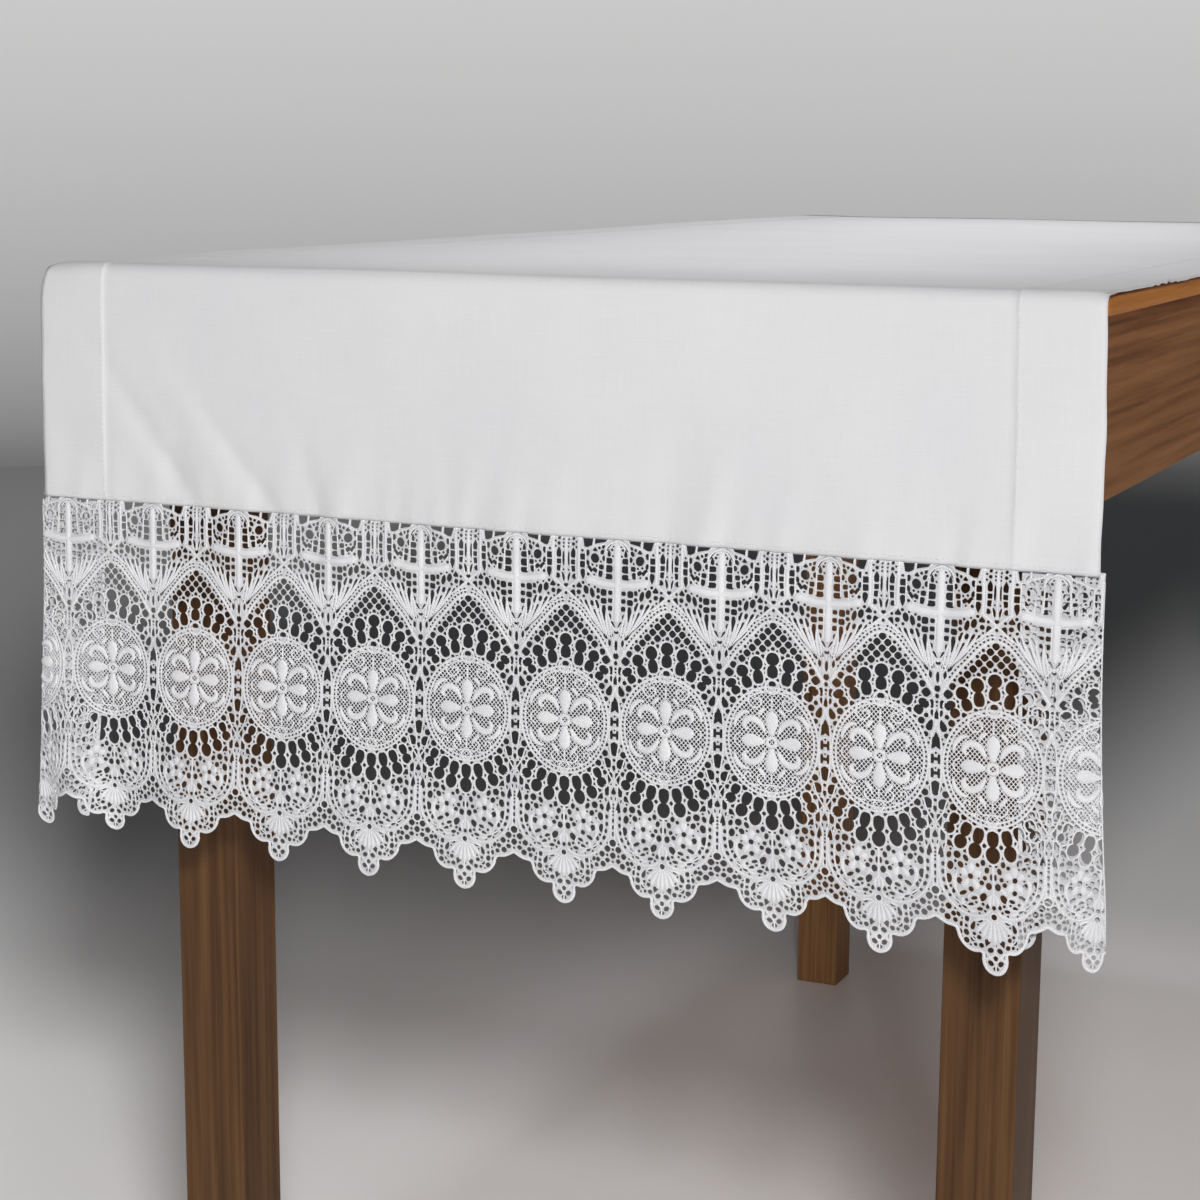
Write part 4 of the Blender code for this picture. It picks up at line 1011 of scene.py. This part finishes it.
def half_plate():
    """The pierced ground of half a repeat: its top triangles with heights for the relief, and its rim."""
    xs = [p[0] for p in SCALLOP]
    ys = [FOOT - p[1] for p in SCALLOP]
    side_y = list(np.linspace(-2.2, ys[-1], 120))
    mid_y = list(np.linspace(ys[0], -2.2, 140))
    dom = [(x, -2.2) for x in np.linspace(0, 36, 25)[:-1]] + [(36.0, y) for y in side_y[:-1]]
    dom += list(zip(xs[::-1], ys[::-1])) + [(0.0, y) for y in mid_y[1:-1]]
    dom = np.array(dom)
    holes = all_holes()
    coords_, edges = [], []

    def loop(pts):
        s = len(coords_)
        coords_.extend(Vector((float(p[0]), float(p[1]))) for p in pts)
        m = len(pts)
        edges.extend((s + i, s + (i + 1) % m) for i in range(m))

    loop(dom)
    for h in holes:
        loop(h)
    dense = []
    for pl in holes + [dom]:
        q = np.roll(pl, -1, 0)
        for t in (0, 1 / 3, 2 / 3):
            dense.append(pl + (q - pl) * t)
    # the sides of the half repeat are no edges of the lace
    dense = np.vstack(dense)
    dense = dense[(np.abs(dense[:, 0]) > 1e-6) & (np.abs(dense[:, 0] - 36) > 1e-6) & (dense[:, 1] > -2.1)]

    def clear(p):
        return nearest(p, dense)

    def solid(x, y):
        ok = inside_polygon(dom, x, y)
        for h in holes:
            ok &= ~inside_polygon(h, x, y)
        return ok

    rings = []
    for h in holes:
        c, q = np.roll(h, 1, 0), np.roll(h, -1, 0)
        t = q - c
        t /= np.maximum(np.linalg.norm(t, axis=1), 1e-9)[:, None]
        area = 0.5 * np.sum(h[:, 0] * q[:, 1] - q[:, 0] * h[:, 1])
        nrm = np.stack([t[:, 1], -t[:, 0]], 1) * (1 if area > 0 else -1)
        rings.append(h + nrm * 0.52)
    ring = np.vstack(rings)
    inset = np.array([(x, scallop_y(x) - d) for d in (0.6, 2.0) for x in np.linspace(0.3, 35.7, 40)])
    gx, gy = np.meshgrid(np.arange(0.9, 36, 1.7), np.arange(-1.0, FOOT, 1.6))
    gx = gx + (np.arange(gx.shape[0]) % 2)[:, None] * 0.85
    grid = np.stack([gx.ravel(), gy.ravel()], 1)
    extra = []
    for pts, least in ((ring, 0.36), (inset, 0.4), (grid, 1.0)):
        pts = pts[(pts[:, 0] > 0.25) & (pts[:, 0] < 35.75)]
        pts = pts[solid(pts[:, 0], pts[:, 1])]
        pts = pts[clear(pts) > least]
        extra.append(pts)
    chosen = []
    cells = {}
    for pts, gap in zip(extra, (0.42, 0.6, 0.9)):
        for p in pts:
            key = (int(p[0] // 1.0), int(p[1] // 1.0))
            near = [q for a in (-1, 0, 1) for b in (-1, 0, 1) for q in cells.get((key[0] + a, key[1] + b), ())]
            if all((p[0] - q[0]) ** 2 + (p[1] - q[1]) ** 2 > gap * gap for q in near):
                chosen.append(p)
                cells.setdefault(key, []).append(p)
    coords_.extend(Vector((float(p[0]), float(p[1]))) for p in chosen)
    vs, _, fs, *_ = delaunay_2d_cdt(coords_, edges, [], 0, 1e-4, False)
    v = np.array([(p[0], p[1]) for p in vs])
    t = np.array(fs, np.int64)
    cen = v[t].mean(1)
    keep = solid(cen[:, 0], cen[:, 1])
    t = t[keep]
    used = np.unique(t)
    remap = -np.ones(len(v), np.int64)
    remap[used] = np.arange(len(used))
    v, t = v[used], remap[t]
    # same winding for all
    a, b, c = v[t[:, 0]], v[t[:, 1]], v[t[:, 2]]
    flip = ((b[:, 0] - a[:, 0]) * (c[:, 1] - a[:, 1]) - (b[:, 1] - a[:, 1]) * (c[:, 0] - a[:, 0])) < 0
    t[flip] = t[flip][:, ::-1]
    v[np.abs(v[:, 0]) < 1e-4, 0] = 0.0
    v[np.abs(v[:, 0] - 36) < 1e-4, 0] = 36.0
    d = clear(v)
    h = 0.16 + 0.40 * smoothstep(d / 0.5) - 0.13 * smoothstep((d - 0.6) / 1.0)
    e = np.vstack([t[:, [0, 1]], t[:, [1, 2]], t[:, [2, 0]]])
    key = e.min(1) * 10 ** 7 + e.max(1)
    _, first_, count = np.unique(key, return_index=True, return_counts=True)
    rim = e[first_[count == 1]]
    seam = (np.abs(v[rim[:, 0], 0] - v[rim[:, 1], 0]) < 1e-6) & ((v[rim[:, 0], 0] == 0.0) | (v[rim[:, 0], 0] == 36.0))
    return v, t, h, rim[~seam]


def offset_path(points, d, step=1.5):
    """The smooth curve through points, moved sideways by d."""
    p = spline(points, step)
    t = np.gradient(p, axis=0)
    t /= np.maximum(np.linalg.norm(t, axis=1), 1e-9)[:, None]
    return p + np.stack([t[:, 1], -t[:, 0]], 1) * d


def oval_path(shrink, n=56, start=0.0, end=math.pi):
    cx, cy_, ax, ay = OVAL
    th = np.linspace(start, end, n)
    return np.stack([cx + (ax - shrink) * np.sin(th), cy_ - (ay - shrink) * np.cos(th)], 1)


def dotted(path, pitch, size, lead=1.5):
    """Small round holes at even steps along a path."""
    seg = np.r_[0, np.cumsum(np.linalg.norm(np.diff(path, axis=0), axis=1))]
    s = np.arange(lead, seg[-1] - lead * 0.6, pitch)
    return [hole_outline(("oval", x, y, size, size, 0)) for x, y in
            zip(np.interp(s, seg, path[:, 0]), np.interp(s, seg, path[:, 1]))]


def half_strokes():
    sh = Shapes()
    for kind, w, h, pts in HALF_STROKES:
        stroke(sh, kind, w, h, pts, step=2.9 if kind in ("cord", "tape") else 2.2)
    # the arch: one thick cord and two thin ones outside it
    stroke(sh, "cord", 1.9, 0.85, offset_path(ARCH, 0.0, 2.2), step=3.0)
    stroke(sh, "cord", 1.0, 0.55, offset_path(ARCH, 2.7, 2.2)[:-3], step=3.2)
    stroke(sh, "cord", 0.9, 0.50, offset_path(ARCH, 5.0, 2.2)[:-9], step=3.2)
    # the oval: double cord outside, thin cord inside
    stroke(sh, "cord", 1.5, 0.75, oval_path(0.2), step=2.6)
    stroke(sh, "cord", 1.2, 0.65, oval_path(3.0), step=2.6)
    # cords round the keyhole loops, open at the waist
    for h in HOLES:
        if h[0] != "key":
            continue
        o = hole_outline(h)
        c = o.mean(0)
        q, r = np.roll(o, -1, 0), np.roll(o, 1, 0)
        t = q - r
        t /= np.maximum(np.linalg.norm(t, axis=1), 1e-9)[:, None]
        n = np.stack([t[:, 1], -t[:, 0]], 1)
        if np.sum((o + n - c) ** 2) < np.sum((o - n - c) ** 2):
            n = -n
        g = o + n * 0.75
        if abs(h[1]) < 0.01:
            keep = g[:, 0] >= -0.01
            g = g[keep]
            g = g[np.argsort(g[:, 1])]
            g[[0, -1], 0] = 0.0
            stroke(sh, "cord", 1.15, 0.60, g, step=2.3)
        else:
            stroke(sh, "cord", 1.15, 0.60, g, step=2.3, closed=True)
    # corded edge of the scallops
    e = np.array([(x, FOOT - a) for x, a in SCALLOP])
    e = offset_path(e, 1.15, 1.6)
    e = e[(e[:, 0] >= 0) & (e[:, 0] <= 36)]
    e[0, 0], e[-1, 0] = 0.0, 36.0
    stroke(sh, "cord", 2.1, 0.75, e, step=2.0)
    # sprig
    for kind, w, h, pts in SPRIG_HALF:
        stroke(sh, kind, w, h, pts, step=2.0, base=0.3)
    # net ground of the oval
    cx, cy_, ax, ay = OVAL
    ax, ay = ax - 3.0, ay - 3.0
    m, pitch = 1.15, 3.3
    for sgn in (-1, 1):
        for n in range(-45, 46):
            y0 = cy_ + n * pitch
            # x where the line meets the ellipse
            a = 1 / ax ** 2 + m * m / ay ** 2
            b = 2 * sgn * m * (y0 - cy_) / ay ** 2
            c = ((y0 - cy_) / ay) ** 2 - 1
            disc = b * b - 4 * a * c
            if disc <= 0:
                continue
            xa, xb = (-b - math.sqrt(disc)) / (2 * a), (-b + math.sqrt(disc)) / (2 * a)
            xa = max(xa, 0.0)
            if xb - xa < 1.5:
                continue
            stroke(sh, "thread", 0.62, 0.26, ((xa, y0 + sgn * m * xa), (xb, y0 + sgn * m * xb)), step=12.0, base=0.05)
    return sh.arrays()


def axis_strokes():
    m, c = Shapes(), Shapes()
    for kind, w, h, pts in M_AXIS_STROKES + SPRIG_AXIS:
        stroke(m, kind, w, h, pts, step=1.8 if kind in ("petal", "satin") else 2.6, base=0.3)
    # ring at the oval's head and foot
    for y, r, w in ((88.0, 4.6, 1.6), (157.2, 3.6, 1.3), (124.8, 3.0, 2.4)):
        th = np.linspace(0, 2 * math.pi, 20)
        stroke(m, "cord", w, 0.7, np.stack([r * np.cos(th), y + r * np.sin(th)], 1)[:-1], step=1.7, closed=True)
    th = np.linspace(0, 2 * math.pi, 14)
    stroke(m, "cord", 1.1, 0.6, np.stack([2.3 * np.cos(th), 217.2 + 2.4 * np.sin(th)], 1)[:-1], step=1.5, closed=True)
    for kind, w, h, pts in C_AXIS_STROKES:
        stroke(c, kind, w, h, pts, step=2.0)
    for y, r in ((206.0, 3.1),):
        th = np.linspace(0, 2 * math.pi, 16)
        stroke(c, "cord", 1.2, 0.6, np.stack([36 + r * np.cos(th), y + r * np.sin(th)], 1)[:-1], step=1.6, closed=True)
    return m.arrays(), c.arrays()


def template():
    """Front and back triangles of half a repeat."""
    v, t, h, rim = half_plate()
    e = np.vstack([t[:, [0, 1]], t[:, [1, 2]], t[:, [2, 0]]])
    key = e.min(1) * 10 ** 7 + e.max(1)
    _, first_, count = np.unique(key, return_index=True, return_counts=True)
    edge = e[first_[count == 1]]
    ids = np.unique(edge)
    back = -np.ones(len(v), np.int64)
    back[ids] = np.arange(len(ids))
    vs, _, fs, orig, *_ = delaunay_2d_cdt([Vector((float(p[0]), float(p[1]))) for p in v[ids]],
                                          [(int(back[a]), int(back[b])) for a, b in edge], [], 0, 1e-6, True)
    source = np.array([o[0] if o else -1 for o in orig])
    fs = np.array(fs, np.int64)
    fs = fs[(source[fs] >= 0).all(1)]
    tri = source[fs]
    cen = v[ids][tri].mean(1)
    # keep the triangles whose middle lies in the lace
    ok = np.zeros(len(tri), bool)
    a, b, c = v[t[:, 0]], v[t[:, 1]], v[t[:, 2]]
    cell = {}
    for i, p in enumerate((a + b + c) / 3):
        cell.setdefault((int(p[0] // 3), int(p[1] // 3)), []).append(i)
    for i, p in enumerate(cen):
        for dx in (-1, 0, 1):
            for dy in (-1, 0, 1):
                for j in cell.get((int(p[0] // 3) + dx, int(p[1] // 3) + dy), ()):
                    q = (a[j], b[j], c[j])
                    s = [(q[(k + 1) % 3][0] - q[k][0]) * (p[1] - q[k][1]) - (q[(k + 1) % 3][1] - q[k][1]) * (p[0] - q[k][0])
                         for k in range(3)]
                    if min(s) >= -1e-7:
                        ok[i] = True
                        break
    tri = tri[ok]
    a, b, c = v[ids][tri[:, 0]], v[ids][tri[:, 1]], v[ids][tri[:, 2]]
    flip = ((b[:, 0] - a[:, 0]) * (c[:, 1] - a[:, 1]) - (b[:, 1] - a[:, 1]) * (c[:, 0] - a[:, 0])) < 0
    tri[flip] = tri[flip][:, ::-1]
    return v, t, h, ids, tri


def ground(tpl, halves):
    """Closed sheet of lace ground for a run of half repeats (place, side)."""
    v, t, h, ids, bt = tpl
    seam0, seam36 = v[:, 0] == 0.0, v[:, 0] == 36.0
    known = {}
    pos, hh, tris, back_tris = [], [], [], []
    count = 0
    for k, side in halves:
        gid = np.zeros(len(v), np.int64)
        new = np.ones(len(v), bool)
        for mask, col in ((seam0, 2 * k), (seam36, 2 * k + side)):
            for i in np.nonzero(mask)[0]:
                g = known.get((col, int(i)))
                if g is not None:
                    gid[i], new[i] = g, False
        n = int(new.sum())
        gid[new] = np.arange(count, count + n)
        for mask, col in ((seam0, 2 * k), (seam36, 2 * k + side)):
            for i in np.nonzero(mask)[0]:
                known[(col, int(i))] = int(gid[i])
        pos.append(np.stack([REP * k + side * v[new, 0], v[new, 1]], 1))
        hh.append(h[new])
        # y runs down, so a half with side +1 has its triangles turned to face outwards
        tr = gid[t] if side < 0 else gid[t][:, ::-1]
        tris.append(tr)
        bb = gid[ids[bt]]
        back_tris.append(bb[:, ::-1] if side < 0 else bb)
        count += n
    pos, hh, tris, back_tris = np.vstack(pos), np.concatenate(hh), np.vstack(tris), np.vstack(back_tris)
    used = np.unique(back_tris)
    remap = -np.ones(count, np.int64)
    remap[used] = np.arange(len(used)) + count
    e = np.vstack([tris[:, [0, 1]], tris[:, [1, 2]], tris[:, [2, 0]]])
    key = e.min(1) * 10 ** 8 + e.max(1)
    _, first_, cnt = np.unique(key, return_index=True, return_counts=True)
    edge = e[first_[cnt == 1]]
    rim = np.vstack([np.stack([edge[:, 1], edge[:, 0], remap[edge[:, 0]]], 1),
                     np.stack([edge[:, 1], remap[edge[:, 0]], remap[edge[:, 1]]], 1)])
    all_v = np.vstack([np.column_stack([pos, hh]), np.column_stack([pos[used], np.full(len(used), -0.28)])])
    all_t = np.vstack([tris, remap[back_tris], rim])
    return all_v, all_t


def raised(half, m_axis, c_axis, halves):
    vs, ts, uvs, n = [], [], [], 0
    for k, side in halves:
        todo = [(half, side)]
        if side > 0:
            todo += [(m_axis, 1), (c_axis, 1)]
        for (v, t, uv), s in todo:
            w = v.copy()
            w[:, 0] = REP * k + s * w[:, 0]
            vs.append(w)
            ts.append((t if s > 0 else t[:, ::-1]) + n)
            uvs.append(uv)
            n += len(v)
    return np.vstack(vs), np.vstack(ts), np.vstack(uvs)


# ---------------------------------------------------------------- the lace in its hang
LACE_HANG = (    # place, shift, back (repeats)
    (-1.12, 0.240, 0.17), (-1.00, 0.235, 0.18), (-0.50, 0.100, -0.06), (0.00, -0.040, 0.28), (1.00, -0.010, 0.03),
    (2.00, 0.000, 0.03), (3.00, 0.010, -0.02), (4.00, 0.000, 0.02), (5.00, 0.015, 0.02), (6.00, -0.010, -0.03),
    (7.00, 0.015, 0.08), (8.00, 0.020, -0.08), (9.00, 0.080, -0.24), (9.50, -0.040, -0.06), (10.00, -0.245, 0.20),
    (10.12, -0.290, 0.22),
)


def lace_front(place, v):
    """x and y of the lace's middle plane where it hangs in front."""
    start, pitch = -4.630 - 0.211 * v ** 1.7, 1.020 + 0.0335 * v ** 2
    x = P * (start + pitch * place + table_at(LACE_HANG, place, 1) * v ** 2.5)
    y = FRONT + LACE_T / 2 + P * table_at(LACE_HANG, place, 2) * v ** 2
    return x, y


def fold_place(side, v):
    a, b = FIRST_FOLD if side < 0 else LAST_FOLD
    return a + (b - a) * v ** 2.2


def lace_surface(place, depth):
    """Middle plane of the lace: place in repeats along it, depth below the band."""
    v = np.clip(depth / LACE_DROP, 0.0, 1.05)
    x, y = lace_front(place, v)
    for side in (-1, 1):
        fold = fold_place(side, v)
        t = side * (place - fold) * P
        fx, fy = lace_front(fold, v)
        a = np.clip(t / FOLD_R, 0, math.pi)
        m = t > 0
        tx, ty = fx + side * FOLD_R * np.sin(a), fy + FOLD_R - FOLD_R * np.cos(a)
        value = np.maximum(t - math.pi * FOLD_R, 0.0) / P
        rx = fx - side * P * value
        _, my = lace_front(fold - side * value, v)
        ry = my + 2 * FOLD_R + RETURN_OPEN * v ** 1.5 * smoothstep(value / RETURN_W)
        flat = t > math.pi * FOLD_R
        x = np.where(m, np.where(flat, rx, tx), x)
        y = np.where(m, np.where(flat, ry, ty), y)
    # its head follows the puckers of the band, tucked behind the hem
    y = y + band_inward(x, np.full_like(x, BAND_DROP)) * (1 - smoothstep(depth / 0.085))
    y = y + 0.0013 * (1 - smoothstep((depth + 0.0005) / 0.0035))
    return np.stack([x, y, LACE_TOP - depth], -1)


def hang(chart):
    """Chart points (mm along the lace, mm down, mm of relief) to their places."""
    place, depth = chart[:, 0] / REP, chart[:, 1] * 0.001 * LACE_DROP / 0.2534
    s = lace_surface(place, depth)
    e = 0.004
    du = lace_surface(place + e, depth) - lace_surface(place - e, depth)
    dv = lace_surface(place, depth + e * P) - lace_surface(place, depth - e * P)
    n = np.cross(dv, du)
    n /= np.maximum(np.linalg.norm(n, axis=1), 1e-12)[:, None]
    return s + n * (chart[:, 2] * 0.001)[:, None]


def shear(chart, side, sign):
    """Moves chart points along the lace so that the fold lies at zero."""
    v = np.clip(chart[:, 1] * 0.001 / 0.2534, 0, 1.05)
    out = chart.copy()
    out[:, 0] += sign * REP * fold_place(side, v)
    return out


def lace_piece(name, verts, tris, uv, mat, side=0, sharp=40.0):
    cut = math.pi * FOLD_R * 1000 + RETURN_W * REP
    if side:
        verts = shear(verts, side, -1)
    ob = array_mesh(name, verts, tris, uv, mat)
    me = ob.data
    if side:
        bm = bmesh.new()
        bm.from_mesh(me)
        res = bmesh.ops.bisect_plane(bm, geom=list(bm.verts) + list(bm.edges) + list(bm.faces), dist=1e-5,
                                     plane_co=(side * cut, 0, 0), plane_no=(side, 0, 0), clear_outer=True)
        open_edges = [e for e in bm.edges if len(e.link_faces) == 1]
        bmesh.ops.holes_fill(bm, edges=open_edges, sides=0)
        bmesh.ops.triangulate(bm, faces=[f for f in bm.faces if len(f.verts) > 3])
        bm.to_mesh(me)
        bm.free()
    co = np.empty(len(me.vertices) * 3, np.float32)
    me.vertices.foreach_get("co", co)
    chart = co.reshape(-1, 3).astype(float)
    if side:
        chart = shear(chart, side, 1)
    me.vertices.foreach_set("co", hang(chart).astype(np.float32).ravel())
    me.update()
    me.shade_smooth()
    me.set_sharp_from_angle(angle=math.radians(sharp))
    return ob


ground_mat = lace_material("white cotton lace ground", 212, 230)
lace_mat = lace_material("white cotton lace cord", 237, 251)
plate = template()
half, m_axis, c_axis = half_strokes(), *axis_strokes()
RUNS = (([(-2, 1)] + [(k, s) for k in (-1, 0, 1, 2) for s in (-1, 1)], -1),
        ([(k, s) for k in (3, 4, 5, 6) for s in (-1, 1)], 0),
        ([(k, s) for k in (7, 8, 9, 10) for s in (-1, 1)] + [(11, -1)], 1))
for number, (halves, side) in enumerate(RUNS, 1):
    gv, gt = ground(plate, halves)
    g = lace_piece("lace_ground_%d" % number, gv, gt, gv[:, :2] * 0.001, ground_mat, side)
    rv, rt, ruv = raised(half, m_axis, c_axis, halves)
    if side:
        # a narrow turned edge closes the end of the lace
        end = Shapes()
        ys = np.linspace(-1.5, 252.0, 60)
        v = np.clip(ys / 253.4, 0, 1.05)
        at = REP * fold_place(side, v) + side * (math.pi * FOLD_R * 1000 + RETURN_W * REP - 1.1)
        rows = [(a, y) for a, y in zip(at, ys) if y < scallop_y(abs((a / REP - round(a / REP)) * REP)) - 0.5]
        stroke(end, "tape", 2.6, 0.8, rows, step=4.0)
        # and a cord runs down the fold
        at = REP * fold_place(side, v) + side * math.pi * FOLD_R * 500
        rows = [(a, y) for a, y in zip(at, ys) if 0 < y < scallop_y(abs((a / REP - round(a / REP)) * REP)) - 1.5]
        stroke(end, "cord", 1.5, 0.55, rows, step=4.0)
        ev, et, euv = end.arrays()
        rv, rt, ruv = np.vstack([rv, ev]), np.vstack([rt, et + len(rv)]), np.vstack([ruv, euv])
    r = lace_piece("lace_cords_%d" % number, rv, rt, ruv * 0.001, lace_mat, side, 60.0)
    for ob in (g, r):
        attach(ob, "root")
        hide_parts("lace_border")

# ---------------------------------------------------------------- the table
# the board's wood is its own orange tone, painted lighter still as painted light from a strong side light on its edge
board_painted_light_mat = wood_material("table top wood", srgb(196, 118, 54), srgb(218, 141, 68), srgb(232, 160, 84), 1, (0.50, 0.62))
# the side rails' wood is painted lighter than the end rails' as painted light on the lit right side
side_rail_painted_light = wood_material("side rail wood lifted as painted light", srgb(126, 79, 43), srgb(157, 105, 62), srgb(177, 124, 78), 1, (0.50, 0.62), shift=0.31)
rail_x = wood_material("rail wood across", srgb(98, 62, 33), srgb(124, 82, 46), srgb(142, 98, 58), 0, (0.50, 0.62), shift=0.57)
# all legs are one wood: the front legs' copy is painted darker as painted shade, the rear legs' copy is painted lighter
# as painted light
leg_painted_shade_mat = wood_material("leg wood upright", srgb(76, 49, 27), srgb(96, 66, 39), srgb(112, 80, 49), 2, (0.50, 0.62), shift=0.83)
rear_leg_painted_light_mat = wood_material("rear leg wood lightened as painted light", srgb(130, 92, 58), srgb(158, 116, 76), srgb(176, 134, 92), 2, (0.50, 0.62), shift=0.47)
for name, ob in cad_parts.items():
    if ob.type != "MESH":
        continue
    pick = {"table_top": board_painted_light_mat}.get(name)
    if name.startswith("side_rail"):
        pick = side_rail_painted_light
    if name.startswith("end_rail"):
        pick = rail_x
    if name.startswith("leg_"):
        pick = rear_leg_painted_light_mat if "rear" in name else leg_painted_shade_mat
    if pick is not None:
        for slot_ in ob.material_slots:
            slot_.material = pick
        if not ob.material_slots:
            ob.data.materials.append(pick)

# ---------------------------------------------------------------- stage
floor_mat = floor_material(0.86)
wall_mat = floor_material(0.86)
bpy.ops.mesh.primitive_circle_add(vertices=128, radius=16.0, fill_type="NGON", location=(0, 0, -0.0004))
floor = bpy.context.object
floor.name = "floor"
floor.data.materials.append(floor_mat)
# backdrop: one sweep that rises slowly behind the table
prof = [(6.4 + 4.0 * math.sin(a), 4.0 - 4.0 * math.cos(a)) for a in np.linspace(0, math.pi / 2, 25)] + [(10.4, 7.5)]
az = np.linspace(math.radians(-58), math.radians(8), 31)
back_v = [(r * math.sin(a), r * math.cos(a), z) for a in az for r, z in prof]
k = len(prof)
back_f = [(i * k + j, i * k + j + 1, (i + 1) * k + j + 1, (i + 1) * k + j) for i in range(len(az) - 1) for j in range(k - 1)]
wall = mesh_object("backdrop", back_v, back_f, wall_mat)
wall.visible_diffuse = False

# dim light from all round, in front of a pale background
world = bpy.data.worlds.new("studio")
bpy.context.scene.world = world
world.use_nodes = True
wn = world.node_tree
dim = wn.nodes["Background"]
dim.inputs["Color"].default_value = (0.93, 0.96, 1.0, 1.0)
dim.inputs["Strength"].default_value = 0.035
pale = wn.nodes.new("ShaderNodeBackground")
pale.inputs["Color"].default_value = (0.66, 0.66, 0.66, 1.0)
pale.inputs["Strength"].default_value = 1.0
seen = wn.nodes.new("ShaderNodeLightPath")
both = wn.nodes.new("ShaderNodeMixShader")
wn.links.new(seen.outputs["Is Camera Ray"], both.inputs[0])
wn.links.new(dim.outputs[0], both.inputs[1])
wn.links.new(pale.outputs[0], both.inputs[2])
wn.links.new(both.outputs[0], wn.nodes["World Output"].inputs["Surface"])


def soft_lamp(name, location, radius, power, color):
    """A round soft lamp of even strength at any distance."""
    ld = bpy.data.lights.new(name, "POINT")
    ld.shadow_soft_size, ld.energy, ld.color = radius, power, color
    ld.use_nodes = True
    nt = ld.node_tree
    fall = nt.nodes.new("ShaderNodeLightFalloff")
    fall.inputs["Strength"].default_value = 1.0
    nt.links.new(fall.outputs["Constant"], nt.nodes["Emission"].inputs["Strength"])
    ob = bpy.data.objects.new(name, ld)
    bpy.context.scene.collection.objects.link(ob)
    ob.location = location
    return ob


def top_light(name, location, size, power, spread, color, aim=None):
    ld = bpy.data.lights.new(name, "AREA")
    ld.shape = "RECTANGLE"
    ld.size, ld.size_y = size
    ld.energy, ld.spread, ld.color = power, math.radians(spread), color
    ob = bpy.data.objects.new(name, ld)
    bpy.context.scene.collection.objects.link(ob)
    ob.location = location
    if aim is not None:
        ob.rotation_euler = (Vector(aim) - Vector(location)).to_track_quat("-Z", "Y").to_euler()
    return ob


soft_lamp("key", (0.86, FRONT - 1.52, 1.52), 0.16, 30.2, (1.0, 0.99, 0.985))
top_light("back", (-1.1, REAR + 2.6, 2.3), (0.9, 0.9), 0.95, 32.0, (0.96, 0.97, 1.0), (0.0, REAR - 0.35, 0.78))
top_light("top", (0.0, 0.0, 2.4), (0.7, 1.5), 1.32, 26.0, (0.965, 0.96, 1.0))
# two downward lights keep the floor pale on either side, clear of the table
top_light("floor_left", (-1.75, FRONT - 0.5, 3.2), (1.3, 2.4), 9.0, 40.0, (1.0, 1.0, 1.0))
top_light("floor_right", (1.95, FRONT + 0.2, 3.2), (1.3, 3.0), 9.0, 40.0, (1.0, 1.0, 1.0))

view = bpy.context.scene.view_settings
try:
    view.view_transform = "Standard"
except TypeError:
    pass
